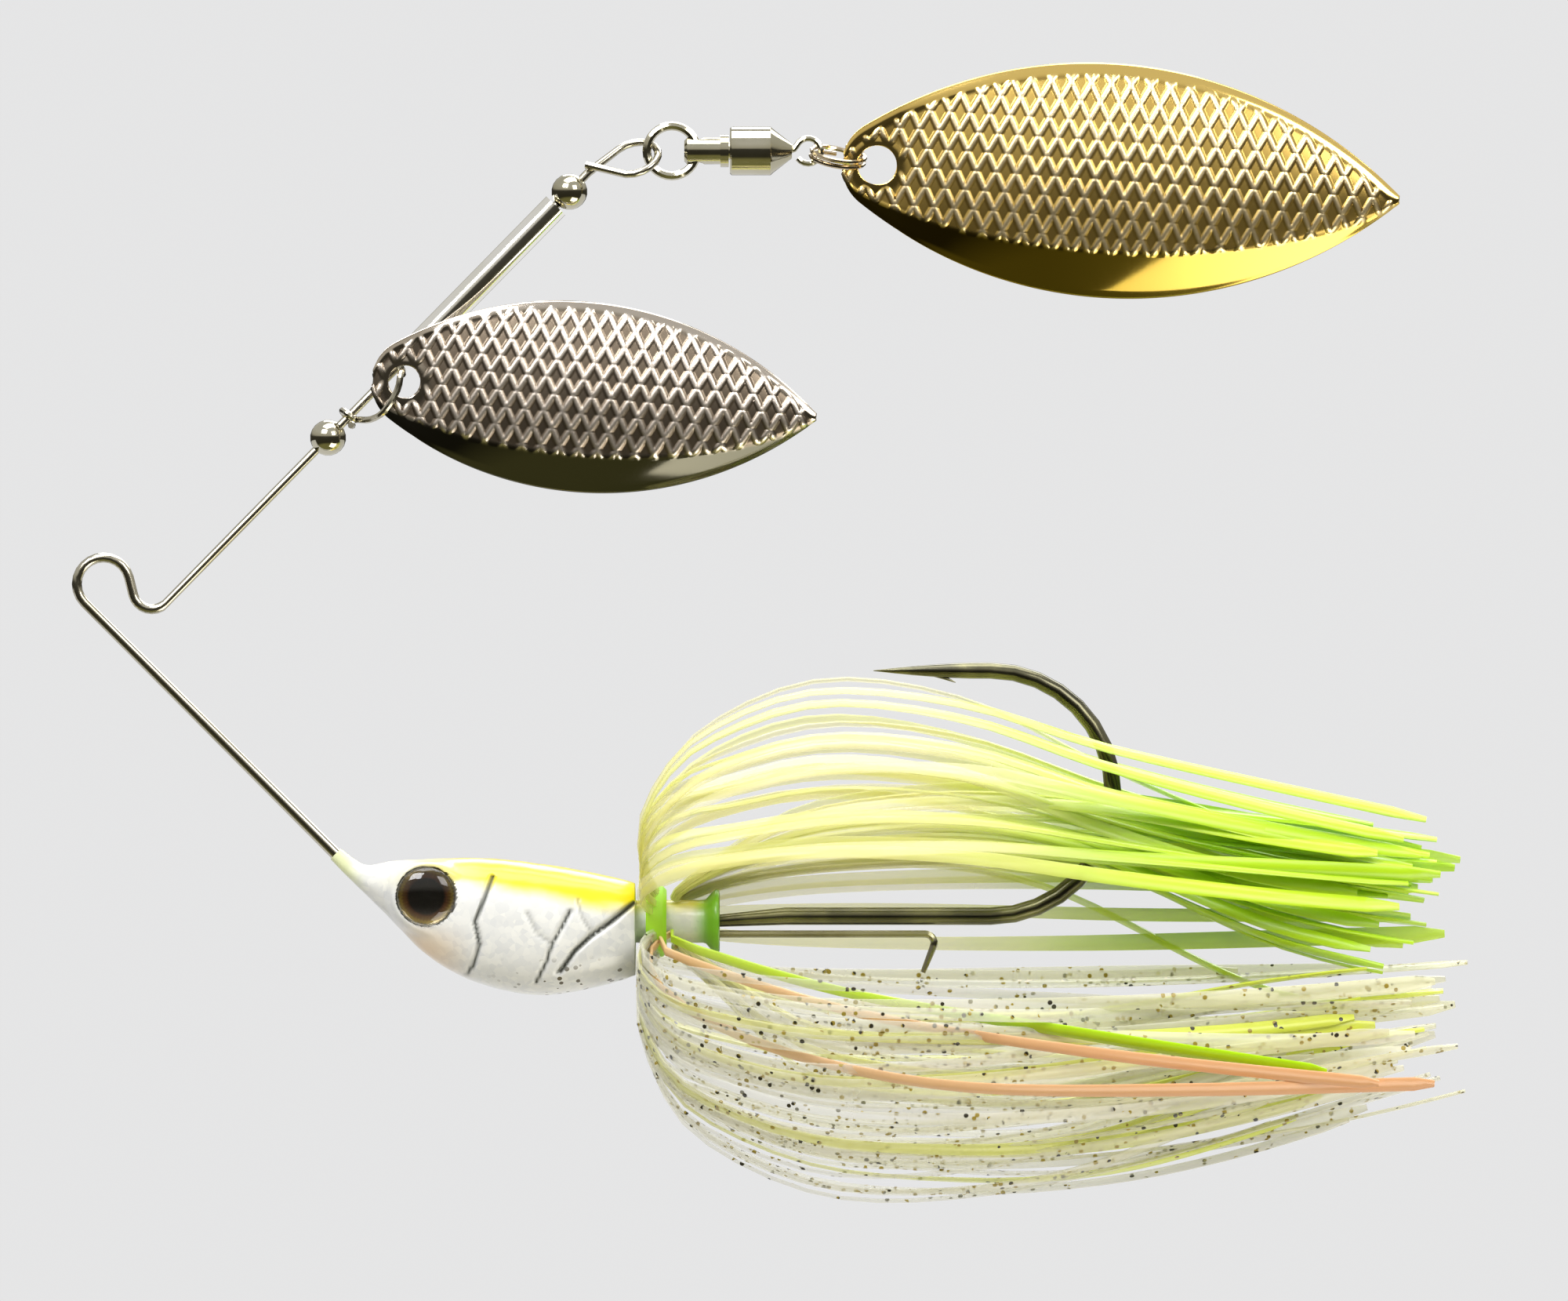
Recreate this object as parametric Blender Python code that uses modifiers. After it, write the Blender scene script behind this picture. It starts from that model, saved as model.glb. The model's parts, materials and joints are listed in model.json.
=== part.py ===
"""A tandem-willow spinnerbait at real size, in the upright position in which it swims.

The origin is the centre of the open bend that the fishing line is tied to. +X runs to the tail,
+Z is up, and the lure's left side faces -Y. Lengths below are millimetres; the helpers turn them
into Blender's metres.
"""

import math

import bmesh
import bpy
from mathutils import Matrix, Vector

MM = 0.001

# Wire form: one tapered steel wire, bent in the XZ plane
LOWER_WIRE_RADIUS = 0.43
BEND_WIRE_RADIUS = 0.35
UPPER_WIRE_RADIUS = 0.30
LOOP_WIRE_RADIUS = 0.26
LOWER_ARM_ANGLE = -45.0
LOWER_ARM_LENGTH = 25.1
TIE_BEND_RADIUS = 1.80
TIE_TURN = 211.0
TIE_STRAIGHT = 1.206
KICK_BEND_RADIUS = 1.30
UPPER_ARM_ANGLE = 45.54
UPPER_ARM_LENGTH = 41.08
FOOT_ANGLE = -27.0
FOOT_LEVEL = -22.9

# Closed loop at the upper arm's end
LOOP_ANGLE = 17.2
LOOP_LENGTH = 4.95
LOOP_RADIUS = 1.68
LOOP_TILT = 50.0
TAG_OFFSET = 0.70

# Hook
HOOK_RADIUS = 0.60
HOOK_EYE_X = 25.6
HOOK_EYE_RADIUS = 1.12
HOOK_EYE_WIRE = 0.38
SHANK_LEVEL = -22.59
SHANK_END_X = 60.34
HOOK_BEND_RADIUS = 8.35
SPEAR_LENGTH = 7.95

# Trailer keeper
KEEPER_RADIUS = 0.25
KEEPER_LEVEL = -23.80
KEEPER_START_X = 38.0
KEEPER_BEND_X = 55.9

# Head and stem
STEM_LEVEL = -22.95
STEM_RADIUS = 1.45
SHOULDER_X = 36.2
STEM_END_X = 41.93
FLARE_RADIUS = 2.2
CAST_GAP = 0.08
EYE_X = 22.04
EYE_LEVEL = -21.19
EYE_RADIUS = 2.0
EYE_SEAT = 2.2
EYE_RIM = 0.3

# Skirt
BAND_START_X = 36.92
BAND_WIDTH = 1.4
BAND_THICKNESS = 0.85
STRAND_THICKNESS = 0.32
STRAND_WIDTH = 1.0
STRAND_ROOT_WIDTH = 0.45
STRAND_ROOTS_X = (36.62, 38.65, 39.15)

# Pieces threaded on the upper arm, by distance along it from the kick bend
BEAD_RADIUS = 1.225
BORE_GAP = 0.075
LOWER_BEAD_AT = 15.8
CLEVIS_LOW_AT = 17.5
CLEVIS_HIGH_AT = 22.8
SLEEVE_START = 23.5
UPPER_BEAD_AT = 39.24
SLEEVE_RADIUS = 0.9
CLEVIS_RADIUS = 0.23
CLEVIS_CROSSING = (5.1, 0.5)

# Swivel, by distance along its own axis from the ring's wire in the post
RING_RADIUS = 1.70
RING_WIRE = 0.30
RING_SLACK = 0.75
POST_START = -0.85
POST_RADIUS = 0.9
COLLAR_START = 1.61
COLLAR_RADIUS = 1.1
NECK_RADIUS = 0.6
BARREL_START = 2.25
BARREL_RADIUS = 1.65
BARREL_CONE_START = 5.02
BARREL_END = 6.47
BARREL_TIP_RADIUS = 0.5
BARREL_WALL = 0.4
BALL_RADIUS = 0.25
BALL_COUNT = 6
BALL_GAP = 0.06
FLANGE_RADIUS = 1.15
FLANGE_WIDTH = 0.42
SWIVEL_EYE_AT = 7.58
SWIVEL_EYE_RADIUS = 0.86
SWIVEL_EYE_WIRE = 0.21

# Split ring
SPLIT_RADIUS = 1.814
SPLIT_WIRE = 0.17
SPLIT_PITCH = 0.37
SPLIT_DROP = 11.9
SPLIT_ROLL = 18.0

# Blades: length, half width, distance from the base to the widest place, from the base to the hole, hole
# radius, and the dip of the long axis in degrees
REAR_BLADE = (38.13, 7.9, 18.13, 2.4, 1.25, 3.8)
FRONT_BLADE = (30.4, 6.4, 14.24, 2.24, 1.1, 4.9)
BLADE_THICKNESS = 0.45
BLADE_DOME = 0.036
FRONT_BLADE_SIDE = -2.0

FORWARD = Vector((1, 0, 0))
SIDEWAYS = Vector((0, 1, 0))
UP = Vector((0, 0, 1))

SILVER = (0.72, 0.70, 0.66)
STEEL = (0.42, 0.40, 0.35)
BRASS = (0.80, 0.62, 0.25)


def clear_scene():
    for obj in list(bpy.data.objects):
        bpy.data.objects.remove(obj, do_unlink=True)


def new_collection(name, hidden=False):
    made = bpy.data.collections.new(name)
    bpy.context.scene.collection.children.link(made)
    made.hide_render = hidden
    return made


def material(name, colour, metallic=0.0, roughness=0.4):
    made = bpy.data.materials.new(name)
    made.use_nodes = True
    shader = made.node_tree.nodes["Principled BSDF"]
    shader.inputs["Base Color"].default_value = (*colour, 1.0)
    shader.inputs["Metallic"].default_value = metallic
    shader.inputs["Roughness"].default_value = roughness
    made.diffuse_color = (*colour, 1.0)
    return made


clear_scene()
PARTS = new_collection("spinnerbait")
CUTTERS = new_collection("cutters", hidden=True)


def metres(point):
    """A point given in millimetres as (x, y, z)."""
    return Vector(point) * MM


def in_plane(x, z, y=0.0):
    return Vector((x, y, z))


def direction(angle_deg):
    """A unit vector in the XZ plane, its angle measured up from +X."""
    return in_plane(math.cos(math.radians(angle_deg)), math.sin(math.radians(angle_deg)))


def link(name, data, surface, collection=PARTS):
    obj = bpy.data.objects.new(name, data)
    collection.objects.link(obj)
    data.materials.append(surface)
    return obj


def as_cutter(obj):
    for holder in list(obj.users_collection):
        holder.objects.unlink(obj)
    CUTTERS.objects.link(obj)
    obj.hide_render = True
    obj.display_type = "WIRE"
    return obj


def boolean(obj, other, operation):
    change = obj.modifiers.new(f"{operation.lower()} {other.name}", "BOOLEAN")
    change.operation = operation
    change.object = as_cutter(other)


def shade(obj, angle_deg=35.0):
    obj.data.shade_smooth()
    obj.data.set_sharp_from_angle(angle=math.radians(angle_deg))


def body_pivot(name, at):
    """An empty on a joint's axis, which carries the pieces that turn there."""
    empty = bpy.data.objects.new(name, None)
    PARTS.objects.link(empty)
    empty.location = metres(at)
    empty.empty_display_size = 2 * MM
    return empty


def hang(pivot, *pieces):
    for piece in pieces:
        piece.parent = pivot
        piece.location -= pivot.location


def smooth_curve(points, steps):
    """Points of a Catmull-Rom curve through the points given, with this many steps a stretch."""
    ends = [2 * points[0] - points[1], *points, 2 * points[-1] - points[-2]]
    found = []
    for before, start, end, after in zip(ends, ends[1:], ends[2:], ends[3:]):
        for step in range(steps):
            t = step / steps
            found.append(
                0.5 * (2 * start + (end - before) * t
                       + (2 * before - 5 * start + 4 * end - after) * t**2
                       + (3 * start - before - 3 * end + after) * t**3)
            )
    return [*found, points[-1].copy()]


def bent_wire(start, heading, moves, step_deg=15.0):
    """The centre line of a wire bent in the XZ plane, and its last heading in degrees.

    A move is (length,) for a straight run or (radius, turn), where a positive turn is to the left.
    """
    points = [start.copy()]
    for move in moves:
        if len(move) == 1:
            points.append(points[-1] + direction(heading) * move[0])
            continue
        radius, turn = move
        side = math.copysign(90.0, turn)
        centre = points[-1] + direction(heading + side) * radius
        steps = max(2, round(abs(turn) / step_deg))
        for step in range(1, steps + 1):
            points.append(centre + direction(heading - side + turn * step / steps) * radius)
        heading += turn
    return points, heading


def circle(centre, along, across, radius, start_deg, end_deg, steps, rise=None):
    """Points on an arc in the plane of two unit vectors. A rise lifts it evenly from start to end."""
    points = []
    for step in range(steps + 1):
        part = step / steps
        angle = math.radians(start_deg + (end_deg - start_deg) * part)
        point = centre + (along * math.cos(angle) + across * math.sin(angle)) * radius
        points.append(point + rise * part if rise else point)
    return points


def tube(name, points, radius, surface, radii=None, resolution=2):
    """A round wire along the points. radii, if given, holds a share of the radius for each point."""
    curve = bpy.data.curves.new(name, "CURVE")
    curve.dimensions = "3D"
    curve.bevel_depth = radius * MM
    curve.bevel_resolution = resolution
    curve.use_fill_caps = True
    spline = curve.splines.new("POLY")
    spline.points.add(len(points) - 1)
    for index, (node, point) in enumerate(zip(spline.points, points)):
        node.co = (*metres(point), 1.0)
        node.radius = radii[index] if radii else 1.0
    return link(name, curve, surface)


def meshed(curve_object):
    """The same shape as a mesh with welded caps, so that it can be cut or can cut."""
    bpy.context.view_layer.update()
    graph = bpy.context.evaluated_depsgraph_get()
    mesh = bpy.data.meshes.new_from_object(curve_object.evaluated_get(graph))
    shape = bmesh.new()
    shape.from_mesh(mesh)
    bmesh.ops.remove_doubles(shape, verts=shape.verts, dist=1e-3 * MM)
    bmesh.ops.recalc_face_normals(shape, faces=shape.faces)
    shape.to_mesh(mesh)
    shape.free()
    name = curve_object.name
    surface = curve_object.data.materials[0]
    bpy.data.objects.remove(curve_object, do_unlink=True)
    mesh.materials.clear()
    return link(name, mesh, surface)


def turned(name, profile, surface, base, axis, steps=24, closed=False):
    """A turned solid. The profile's points are (radius, height along the axis), outer side last to first."""
    mesh = bpy.data.meshes.new(name)
    edges = [(i, i + 1) for i in range(len(profile) - 1)]
    if closed:
        edges.append((len(profile) - 1, 0))
    mesh.from_pydata([metres((radius, 0, height)) for radius, height in profile], edges, [])
    obj = link(name, mesh, surface)
    screw = obj.modifiers.new("turn", "SCREW")
    screw.axis = "Z"
    screw.steps = steps
    screw.render_steps = steps
    screw.use_merge_vertices = True
    screw.merge_threshold = 1e-3 * MM
    screw.use_smooth_shade = False
    obj.rotation_euler = UP.rotation_difference(axis).to_euler()
    obj.location = metres(base)
    return obj


def cylinder(name, radius, length, surface, centre, axis, steps=32):
    mesh = bpy.data.meshes.new(name)
    shape = bmesh.new()
    bmesh.ops.create_cone(
        shape, cap_ends=True, segments=steps, radius1=radius * MM, radius2=radius * MM, depth=length * MM
    )
    shape.to_mesh(mesh)
    shape.free()
    obj = link(name, mesh, surface)
    obj.rotation_euler = UP.rotation_difference(axis).to_euler()
    obj.location = metres(centre)
    return obj


def loft(name, rings, surface):
    """A closed solid through rings that have the same number of points."""
    mesh = bpy.data.meshes.new(name)
    shape = bmesh.new()
    rows = [[shape.verts.new(metres(point)) for point in ring] for ring in rings]
    count = len(rows[0])
    for row, following in zip(rows, rows[1:]):
        for i in range(count):
            shape.faces.new((row[i], row[(i + 1) % count], following[(i + 1) % count], following[i]))
    shape.faces.new(rows[0])
    shape.faces.new(rows[-1])
    bmesh.ops.recalc_face_normals(shape, faces=shape.faces)
    shape.to_mesh(mesh)
    shape.free()
    return link(name, mesh, surface)


def arm_point(distance):
    """A point on the upper arm, by distance from the kick bend."""
    return ARM_START + ARM_DIRECTION * distance


# ---------------------------------------------------------------- wire form

TIE_START = direction(LOWER_ARM_ANGLE - 90) * TIE_BEND_RADIUS


def tie_bend():
    """The line-tie bend and the kick bend, from the top of the lower arm to the foot of the upper arm."""
    heading = LOWER_ARM_ANGLE + 180
    kick_turn = UPPER_ARM_ANGLE - (heading - TIE_TURN)
    moves = [(TIE_BEND_RADIUS, -TIE_TURN), (TIE_STRAIGHT,), (KICK_BEND_RADIUS, kick_turn)]
    return bent_wire(TIE_START, heading, moves)


TIE_POINTS, ARM_HEADING = tie_bend()
ARM_START = TIE_POINTS[-1]
ARM_DIRECTION = direction(ARM_HEADING)
ARM_AWAY = direction(ARM_HEADING - 90)
LOOP_NECK = arm_point(UPPER_ARM_LENGTH)
LOOP_ALONG = direction(LOOP_ANGLE)
LOOP_ACROSS = (
    direction(LOOP_ANGLE + 90) * math.cos(math.radians(LOOP_TILT))
    + SIDEWAYS * math.sin(math.radians(LOOP_TILT))
)
LOOP_TIP = LOOP_NECK + LOOP_ALONG * LOOP_LENGTH


def lower_arm():
    """From the tie bend down into the head, where the foot passes sideways through the hook's eye."""
    nose_bend, level_bend, side_bend = 3.0, 1.5, 0.85
    side, past_eye = -1.12, 1.15
    points, heading = bent_wire(
        TIE_START, LOWER_ARM_ANGLE, [(LOWER_ARM_LENGTH,), (nose_bend, FOOT_ANGLE - LOWER_ARM_ANGLE)]
    )
    drop = points[-1].z - FOOT_LEVEL - level_bend * (1 - math.cos(math.radians(FOOT_ANGLE)))
    slope = drop / math.sin(math.radians(-FOOT_ANGLE))
    foot = bent_wire(points[-1], heading, [(slope,), (level_bend, -FOOT_ANGLE)])[0][1:]
    for point in foot:
        point.y = side
    turn_centre = in_plane(HOOK_EYE_X - side_bend, FOOT_LEVEL, side + side_bend)
    turn = circle(turn_centre, FORWARD, -SIDEWAYS, side_bend, 90, 0, 5)
    return [*points, *foot, *turn, in_plane(HOOK_EYE_X, FOOT_LEVEL, past_eye)]


def end_loop():
    """The teardrop loop at the arm's end. Its tag lies beside the neck."""
    middle = LOOP_LENGTH - LOOP_RADIUS
    opening = math.degrees(math.asin(LOOP_RADIUS / middle))
    centre = LOOP_NECK + LOOP_ALONG * middle
    beside = LOOP_ALONG.cross(LOOP_ACROSS) * TAG_OFFSET
    round_tip = circle(centre, LOOP_ALONG, LOOP_ACROSS, LOOP_RADIUS, 90 + opening, -90 - opening, 12)
    back = LOOP_NECK - round_tip[-1]
    tag = [round_tip[-1] + back * share + beside * share for share in (0.35, 0.7, 1.0)]
    return [LOOP_NECK, *round_tip, *tag]


def wire_form():
    low = lower_arm()
    high = TIE_POINTS[1:-1]
    loop = end_loop()
    points = [*reversed(low), *high, ARM_START, *loop]
    radii = [LOWER_WIRE_RADIUS] * (len(low) - 1) + [BEND_WIRE_RADIUS] * (len(high) + 1)
    radii += [UPPER_WIRE_RADIUS] * 2 + [LOOP_WIRE_RADIUS] * (len(loop) - 1)
    shares = [radius / LOWER_WIRE_RADIUS for radius in radii]
    surface = material("stainless_wire", STEEL, 1.0, 0.22)
    return tube("wire_form", points, LOWER_WIRE_RADIUS, surface, shares, 3)


# ---------------------------------------------------------------- hook and keeper

def hook_line():
    """The hook's centre line from its eye to its point, with each point's share of the wire radius."""
    eye = circle(in_plane(HOOK_EYE_X, FOOT_LEVEL), FORWARD, UP, HOOK_EYE_RADIUS, 48, 318, 16)
    neck = in_plane(HOOK_EYE_X + 2.0, FOOT_LEVEL)
    stem_end = in_plane(STEM_END_X, FOOT_LEVEL)
    full = in_plane(STEM_END_X + 4.5, SHANK_LEVEL)
    bend, heading = bent_wire(in_plane(SHANK_END_X, SHANK_LEVEL), 0.0, [(HOOK_BEND_RADIUS, 180.0)], 11.25)
    steps = 6
    spear = [bend[-1] + direction(heading) * SPEAR_LENGTH * i / steps for i in range(1, steps + 1)]
    thin = HOOK_EYE_WIRE / HOOK_RADIUS
    radii = [thin] * (len(eye) + 1) + [0.7, 1.0]
    radii += [1.0 - 0.08 * i / len(bend) for i in range(len(bend))]
    radii += [0.92, 0.84, 0.70, 0.52, 0.30, 0.05]
    return [*eye, neck, stem_end, full, *bend, *spear], radii


def hook():
    surface = material("black_nickel", (0.10, 0.095, 0.07), 1.0, 0.25)
    points, radii = hook_line()
    made = meshed(tube("hook", points, HOOK_RADIUS, surface, radii, 4))
    barb_root = points[-4] + in_plane(0, -0.12)
    barb_tip = points[-5] + in_plane(0.3, -0.80)
    barb = meshed(tube("barb", [barb_root, barb_tip], 0.26, surface, [1.0, 0.12]))
    boolean(made, barb, "UNION")
    return made


def keeper_line():
    """The keeper lies under the shank, and its end turns down and forward."""
    start = in_plane(KEEPER_START_X, KEEPER_LEVEL)
    moves = [(KEEPER_BEND_X - KEEPER_START_X,), (0.62, -112.0), (1.9,)]
    return bent_wire(start, 0.0, moves)[0]


def trailer_keeper():
    surface = material("keeper_wire", (0.30, 0.28, 0.18), 1.0, 0.3)
    points = keeper_line()
    radii = [1.0] * (len(points) - 1) + [0.7]
    return tube("trailer_keeper", points, KEEPER_RADIUS, surface, radii)


# ---------------------------------------------------------------- head

# Each section is (top x, top z, bottom x, bottom z, half width). The nose sections lie across the wire.
HEAD_SECTIONS = [
    (16.15, -18.00, 15.45, -18.70, 0.50),
    (17.20, -18.78, 16.35, -19.63, 0.64),
    (18.04, -19.11, 17.25, -20.53, 0.98),
    (19.64, -18.84, 18.10, -21.32, 1.50),
    (21.30, -18.74, 19.11, -22.33, 2.00),
    (22.84, -18.68, 20.30, -23.56, 2.45),
    (24.97, -18.63, 21.90, -25.12, 2.85),
    (27.00, -18.72, 24.20, -26.58, 3.20),
    (29.00, -18.93, 27.11, -27.59, 3.45),
    (31.20, -19.25, 30.20, -27.95, 3.50),
    (33.60, -19.70, 33.30, -27.45, 3.30),
    (35.90, -20.25, 35.90, -26.72, 2.80),
]
HEAD_SQUARENESS = 0.82


def rounded(value, power):
    return math.copysign(abs(value) ** power, value)


def section_ring(top, bottom, half_width, power=1.0, count=24):
    middle = (top + bottom) / 2
    up = (top - bottom) / 2
    side = Vector((0, half_width, 0))
    angles = [2 * math.pi * i / count for i in range(count)]
    return [
        middle + up * rounded(math.cos(angle), power) + side * rounded(math.sin(angle), power)
        for angle in angles
    ]


def upright_ring(x, level, half_height, half_width, power=1.0):
    return section_ring(in_plane(x, level + half_height), in_plane(x, level - half_height), half_width, power)


def head_rings():
    tops = smooth_curve([in_plane(s[0], s[1]) for s in HEAD_SECTIONS], 2)
    bottoms = smooth_curve([in_plane(s[2], s[3]) for s in HEAD_SECTIONS], 2)
    widths = smooth_curve([Vector((s[4], 0, 0)) for s in HEAD_SECTIONS], 2)
    rings = [
        section_ring(top, bottom, width.x, HEAD_SQUARENESS)
        for top, bottom, width in zip(tops, bottoms, widths)
    ]
    rings.append(upright_ring(SHOULDER_X - 0.02, -23.45, 2.85, 2.4, HEAD_SQUARENESS))
    rings.append(upright_ring(SHOULDER_X, -23.2, 2.1, 1.9))
    flare_start = STEM_END_X - 0.93
    lip = 0.25
    stem = [
        (SHOULDER_X + 0.05, STEM_RADIUS), (flare_start, STEM_RADIUS),
        (STEM_END_X - lip, FLARE_RADIUS), (STEM_END_X, FLARE_RADIUS - lip),
    ]
    return rings + [upright_ring(x, STEM_LEVEL, radius, radius) for x, radius in stem]


def head():
    surface = material("pearl_paint", (0.88, 0.88, 0.84), 0.0, 0.25)
    made = loft("head", head_rings(), surface)
    eye_centre = in_plane(EYE_X, EYE_LEVEL)
    boss = cylinder("eye_boss", EYE_RADIUS + EYE_RIM, 2 * (EYE_SEAT + EYE_RIM), surface, eye_centre, SIDEWAYS)
    boolean(made, boss, "UNION")
    for side in (-1, 1):
        depth = 2.0
        pocket_centre = eye_centre + SIDEWAYS * side * (EYE_SEAT + depth / 2)
        pocket = cylinder(f"eye_pocket{side}", EYE_RADIUS + CAST_GAP, depth, surface, pocket_centre, SIDEWAYS)
        boolean(made, pocket, "DIFFERENCE")
    past_end = STEM_END_X + 1.5
    hook_points, hook_radii = hook_line()
    in_head = sum(1 for point in hook_points if point.x < STEM_END_X)
    bore_points = [*hook_points[:in_head], in_plane(past_end, FOOT_LEVEL)]
    wires = [share * HOOK_RADIUS for share in hook_radii[:in_head]]
    wires.append(hook_radii[in_head] * HOOK_RADIUS)
    shares = [(wire + CAST_GAP) / HOOK_RADIUS for wire in wires]
    boolean(made, meshed(tube("hook_bore", bore_points, HOOK_RADIUS, surface, shares)), "DIFFERENCE")
    wire_points = lower_arm()[1:]
    nose_start = wire_points[0] - direction(LOWER_ARM_ANGLE) * 3.0
    wire_bore = [nose_start, *wire_points, wire_points[-1] + SIDEWAYS * 0.15]
    boolean(made, meshed(tube("wire_bore", wire_bore, LOWER_WIRE_RADIUS + CAST_GAP, surface)), "DIFFERENCE")
    keeper_bore = [in_plane(KEEPER_START_X - 0.1, KEEPER_LEVEL), in_plane(past_end, KEEPER_LEVEL)]
    boolean(made, meshed(tube("keeper_bore", keeper_bore, KEEPER_RADIUS + CAST_GAP, surface)), "DIFFERENCE")
    return made


def eye(side, name):
    """A foil disc in its seat, and the clear dome over it."""
    outward = SIDEWAYS * side
    gap = 0.05
    foil_thickness = 0.12
    foil_centre = in_plane(EYE_X, EYE_LEVEL) + outward * (EYE_SEAT + gap + foil_thickness / 2)
    foil_surface = material(f"foil_{name}", (0.35, 0.30, 0.08), 0.8, 0.3)
    foil = cylinder(f"eye_foil_{name}", EYE_RADIUS, foil_thickness, foil_surface, foil_centre, outward)
    dome_height = 0.85
    rim_height = 0.12
    steps = 6
    profile = [(0.0, dome_height)]
    for step in range(1, steps + 1):
        angle = math.pi / 2 * step / steps
        height = rim_height + (dome_height - rim_height) * math.cos(angle)
        profile.append((EYE_RADIUS * math.sin(angle), height))
    profile += [(EYE_RADIUS, 0.0), (0.0, 0.0)]
    base = foil_centre + outward * (foil_thickness / 2 + gap)
    surface = material(f"clear_dome_{name}", (0.10, 0.09, 0.03), 0.0, 0.05)
    return foil, turned(f"eye_dome_{name}", profile, surface, base, outward)


# ---------------------------------------------------------------- skirt

def skirt_band():
    inner = STEM_RADIUS + 0.1
    outer = inner + BAND_THICKNESS
    round_off = 0.25
    profile = [
        (inner, BAND_WIDTH), (outer - round_off, BAND_WIDTH), (outer, BAND_WIDTH - round_off),
        (outer, round_off), (outer - round_off, 0.0), (inner, 0.0),
    ]
    surface = material("band_rubber", (0.35, 0.75, 0.02), 0.0, 0.5)
    base = in_plane(BAND_START_X, STEM_LEVEL)
    return turned("skirt_band", profile, surface, base, FORWARD, closed=True)


def strand_line(layer, root_deg, crest, crest_deg, ends):
    """The middle line of one strand.

    It leaves the stem at right angles and folds back over a crest at this radius. Angles run round the
    stem from straight up. ends holds the last points as (x, y, height above the stem).
    """
    root_x = STRAND_ROOTS_X[layer]
    shares = [(0.0, 0.0), (0.0, 0.38), (0.10, 0.68), (0.36, 0.93), (0.80, 1.0)]
    points = []
    for index, (forward, rise) in enumerate(shares):
        angle = math.radians(root_deg + (crest_deg - root_deg) * index / (len(shares) - 1))
        radius = max(STEM_RADIUS + 0.22, crest * rise)
        points.append(Vector((root_x + crest * forward, radius * math.sin(angle), radius * math.cos(angle))))
    points += [Vector(end) for end in ends]
    lifted = [point + in_plane(0, STEM_LEVEL) for point in points]
    return smooth_curve(lifted, 2)


def strand(name, line, side_deg, surface):
    """A flat silicone strip along a line, its width across the direction in which it fans out."""
    last = len(line) - 1
    mesh = bpy.data.meshes.new(name)
    shape = bmesh.new()
    bmesh.ops.create_grid(shape, x_segments=last, y_segments=1, size=1.0)
    across = Vector((0, math.cos(math.radians(side_deg)), -math.sin(math.radians(side_deg))))
    for vertex in shape.verts:
        index = round((vertex.co.x + 1) / 2 * last)
        width = STRAND_ROOT_WIDTH if index < 2 else STRAND_WIDTH
        vertex.co = metres(line[index] + across * vertex.co.y * width / 2)
    shape.to_mesh(mesh)
    shape.free()
    obj = link(name, mesh, surface)
    thick = obj.modifiers.new("thickness", "SOLIDIFY")
    thick.thickness = STRAND_THICKNESS * MM
    thick.offset = 0.0
    return obj


def upper_strands(surface):
    """Two fans over the hook, one each side of it, so that the gap of the hook stays open."""
    crests = (16.7, 13.2, 10.2)
    tip_heights = (7.4, 5.4, 3.4)
    waist_heights = (11.4, 9.2, 7.0)
    made = []
    for side, side_name in ((-1, "left"), (1, "right")):
        for k in range(7):
            layer = k % 3
            crest = crests[layer]
            crest_y = 3.3 + 1.75 * k * crest / crests[0]
            crest_deg = math.degrees(math.asin(min(0.97, crest_y / crest)))
            fall = 1 - 0.05 * k
            ends = [
                (69.0, side * (3.0 + 0.85 * k), waist_heights[layer] * fall),
                (79.0, side * (2.0 + 0.85 * k), (waist_heights[layer] + tip_heights[layer]) / 2 * fall),
                (90.0 + 1.2 * layer, side * (1.2 + 0.75 * k), tip_heights[layer] * fall),
            ]
            root_deg = 10 + 10 * k
            line = strand_line(layer, side * root_deg, crest, side * crest_deg, ends)
            made.append(strand(f"skirt_strand_upper_{side_name}_{k + 1}", line, side * crest_deg, surface))
    return made


def lower_strands(surface):
    """Two fans under the hook shank."""
    crests = (19.3, 15.4, 11.8)
    tip_heights = (-15.0, -11.2, -7.2)
    waist_heights = (-18.2, -14.4, -10.6)
    tip_x = (86.0, 92.0, 94.0)
    made = []
    for side, side_name in ((-1, "left"), (1, "right")):
        for k in range(7):
            layer = k % 3
            crest = crests[layer]
            crest_y = 1.5 + 2.05 * k * crest / crests[0]
            crest_deg = 180 - math.degrees(math.asin(min(0.97, crest_y / crest)))
            fall = 1 - 0.05 * k
            ends = [
                (69.0, side * (1.5 + 1.3 * k), waist_heights[layer] * fall),
                (79.0, side * (1.3 + 1.1 * k), (waist_heights[layer] + tip_heights[layer]) / 2 * fall),
                (tip_x[layer], side * (1.1 + 0.9 * k), tip_heights[layer] * fall),
            ]
            root_deg = 180 - (10 + 10 * k)
            line = strand_line(layer, side * root_deg, crest, side * crest_deg, ends)
            made.append(strand(f"skirt_strand_lower_{side_name}_{k + 1}", line, side * crest_deg, surface))
    return made


def side_strands(surface):
    """The few strands that lie level with the hook shank."""
    made = []
    for side, side_name in ((-1, "left"), (1, "right")):
        for k, (layer, root_deg, crest_deg, tip_height) in enumerate(((2, 84, 80, 1.6), (1, 100, 104, -3.6))):
            crest = 8.6
            ends = [
                (66.0, side * (6.8 + k), tip_height * 0.9), (79.0, side * (5.8 + k), tip_height),
                (91.0, side * (5.0 + k), tip_height),
            ]
            line = strand_line(layer, side * root_deg, crest, side * crest_deg, ends)
            made.append(strand(f"skirt_strand_side_{side_name}_{k + 1}", line, side * crest_deg, surface))
    return made


# ---------------------------------------------------------------- pieces on the upper arm

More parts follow.
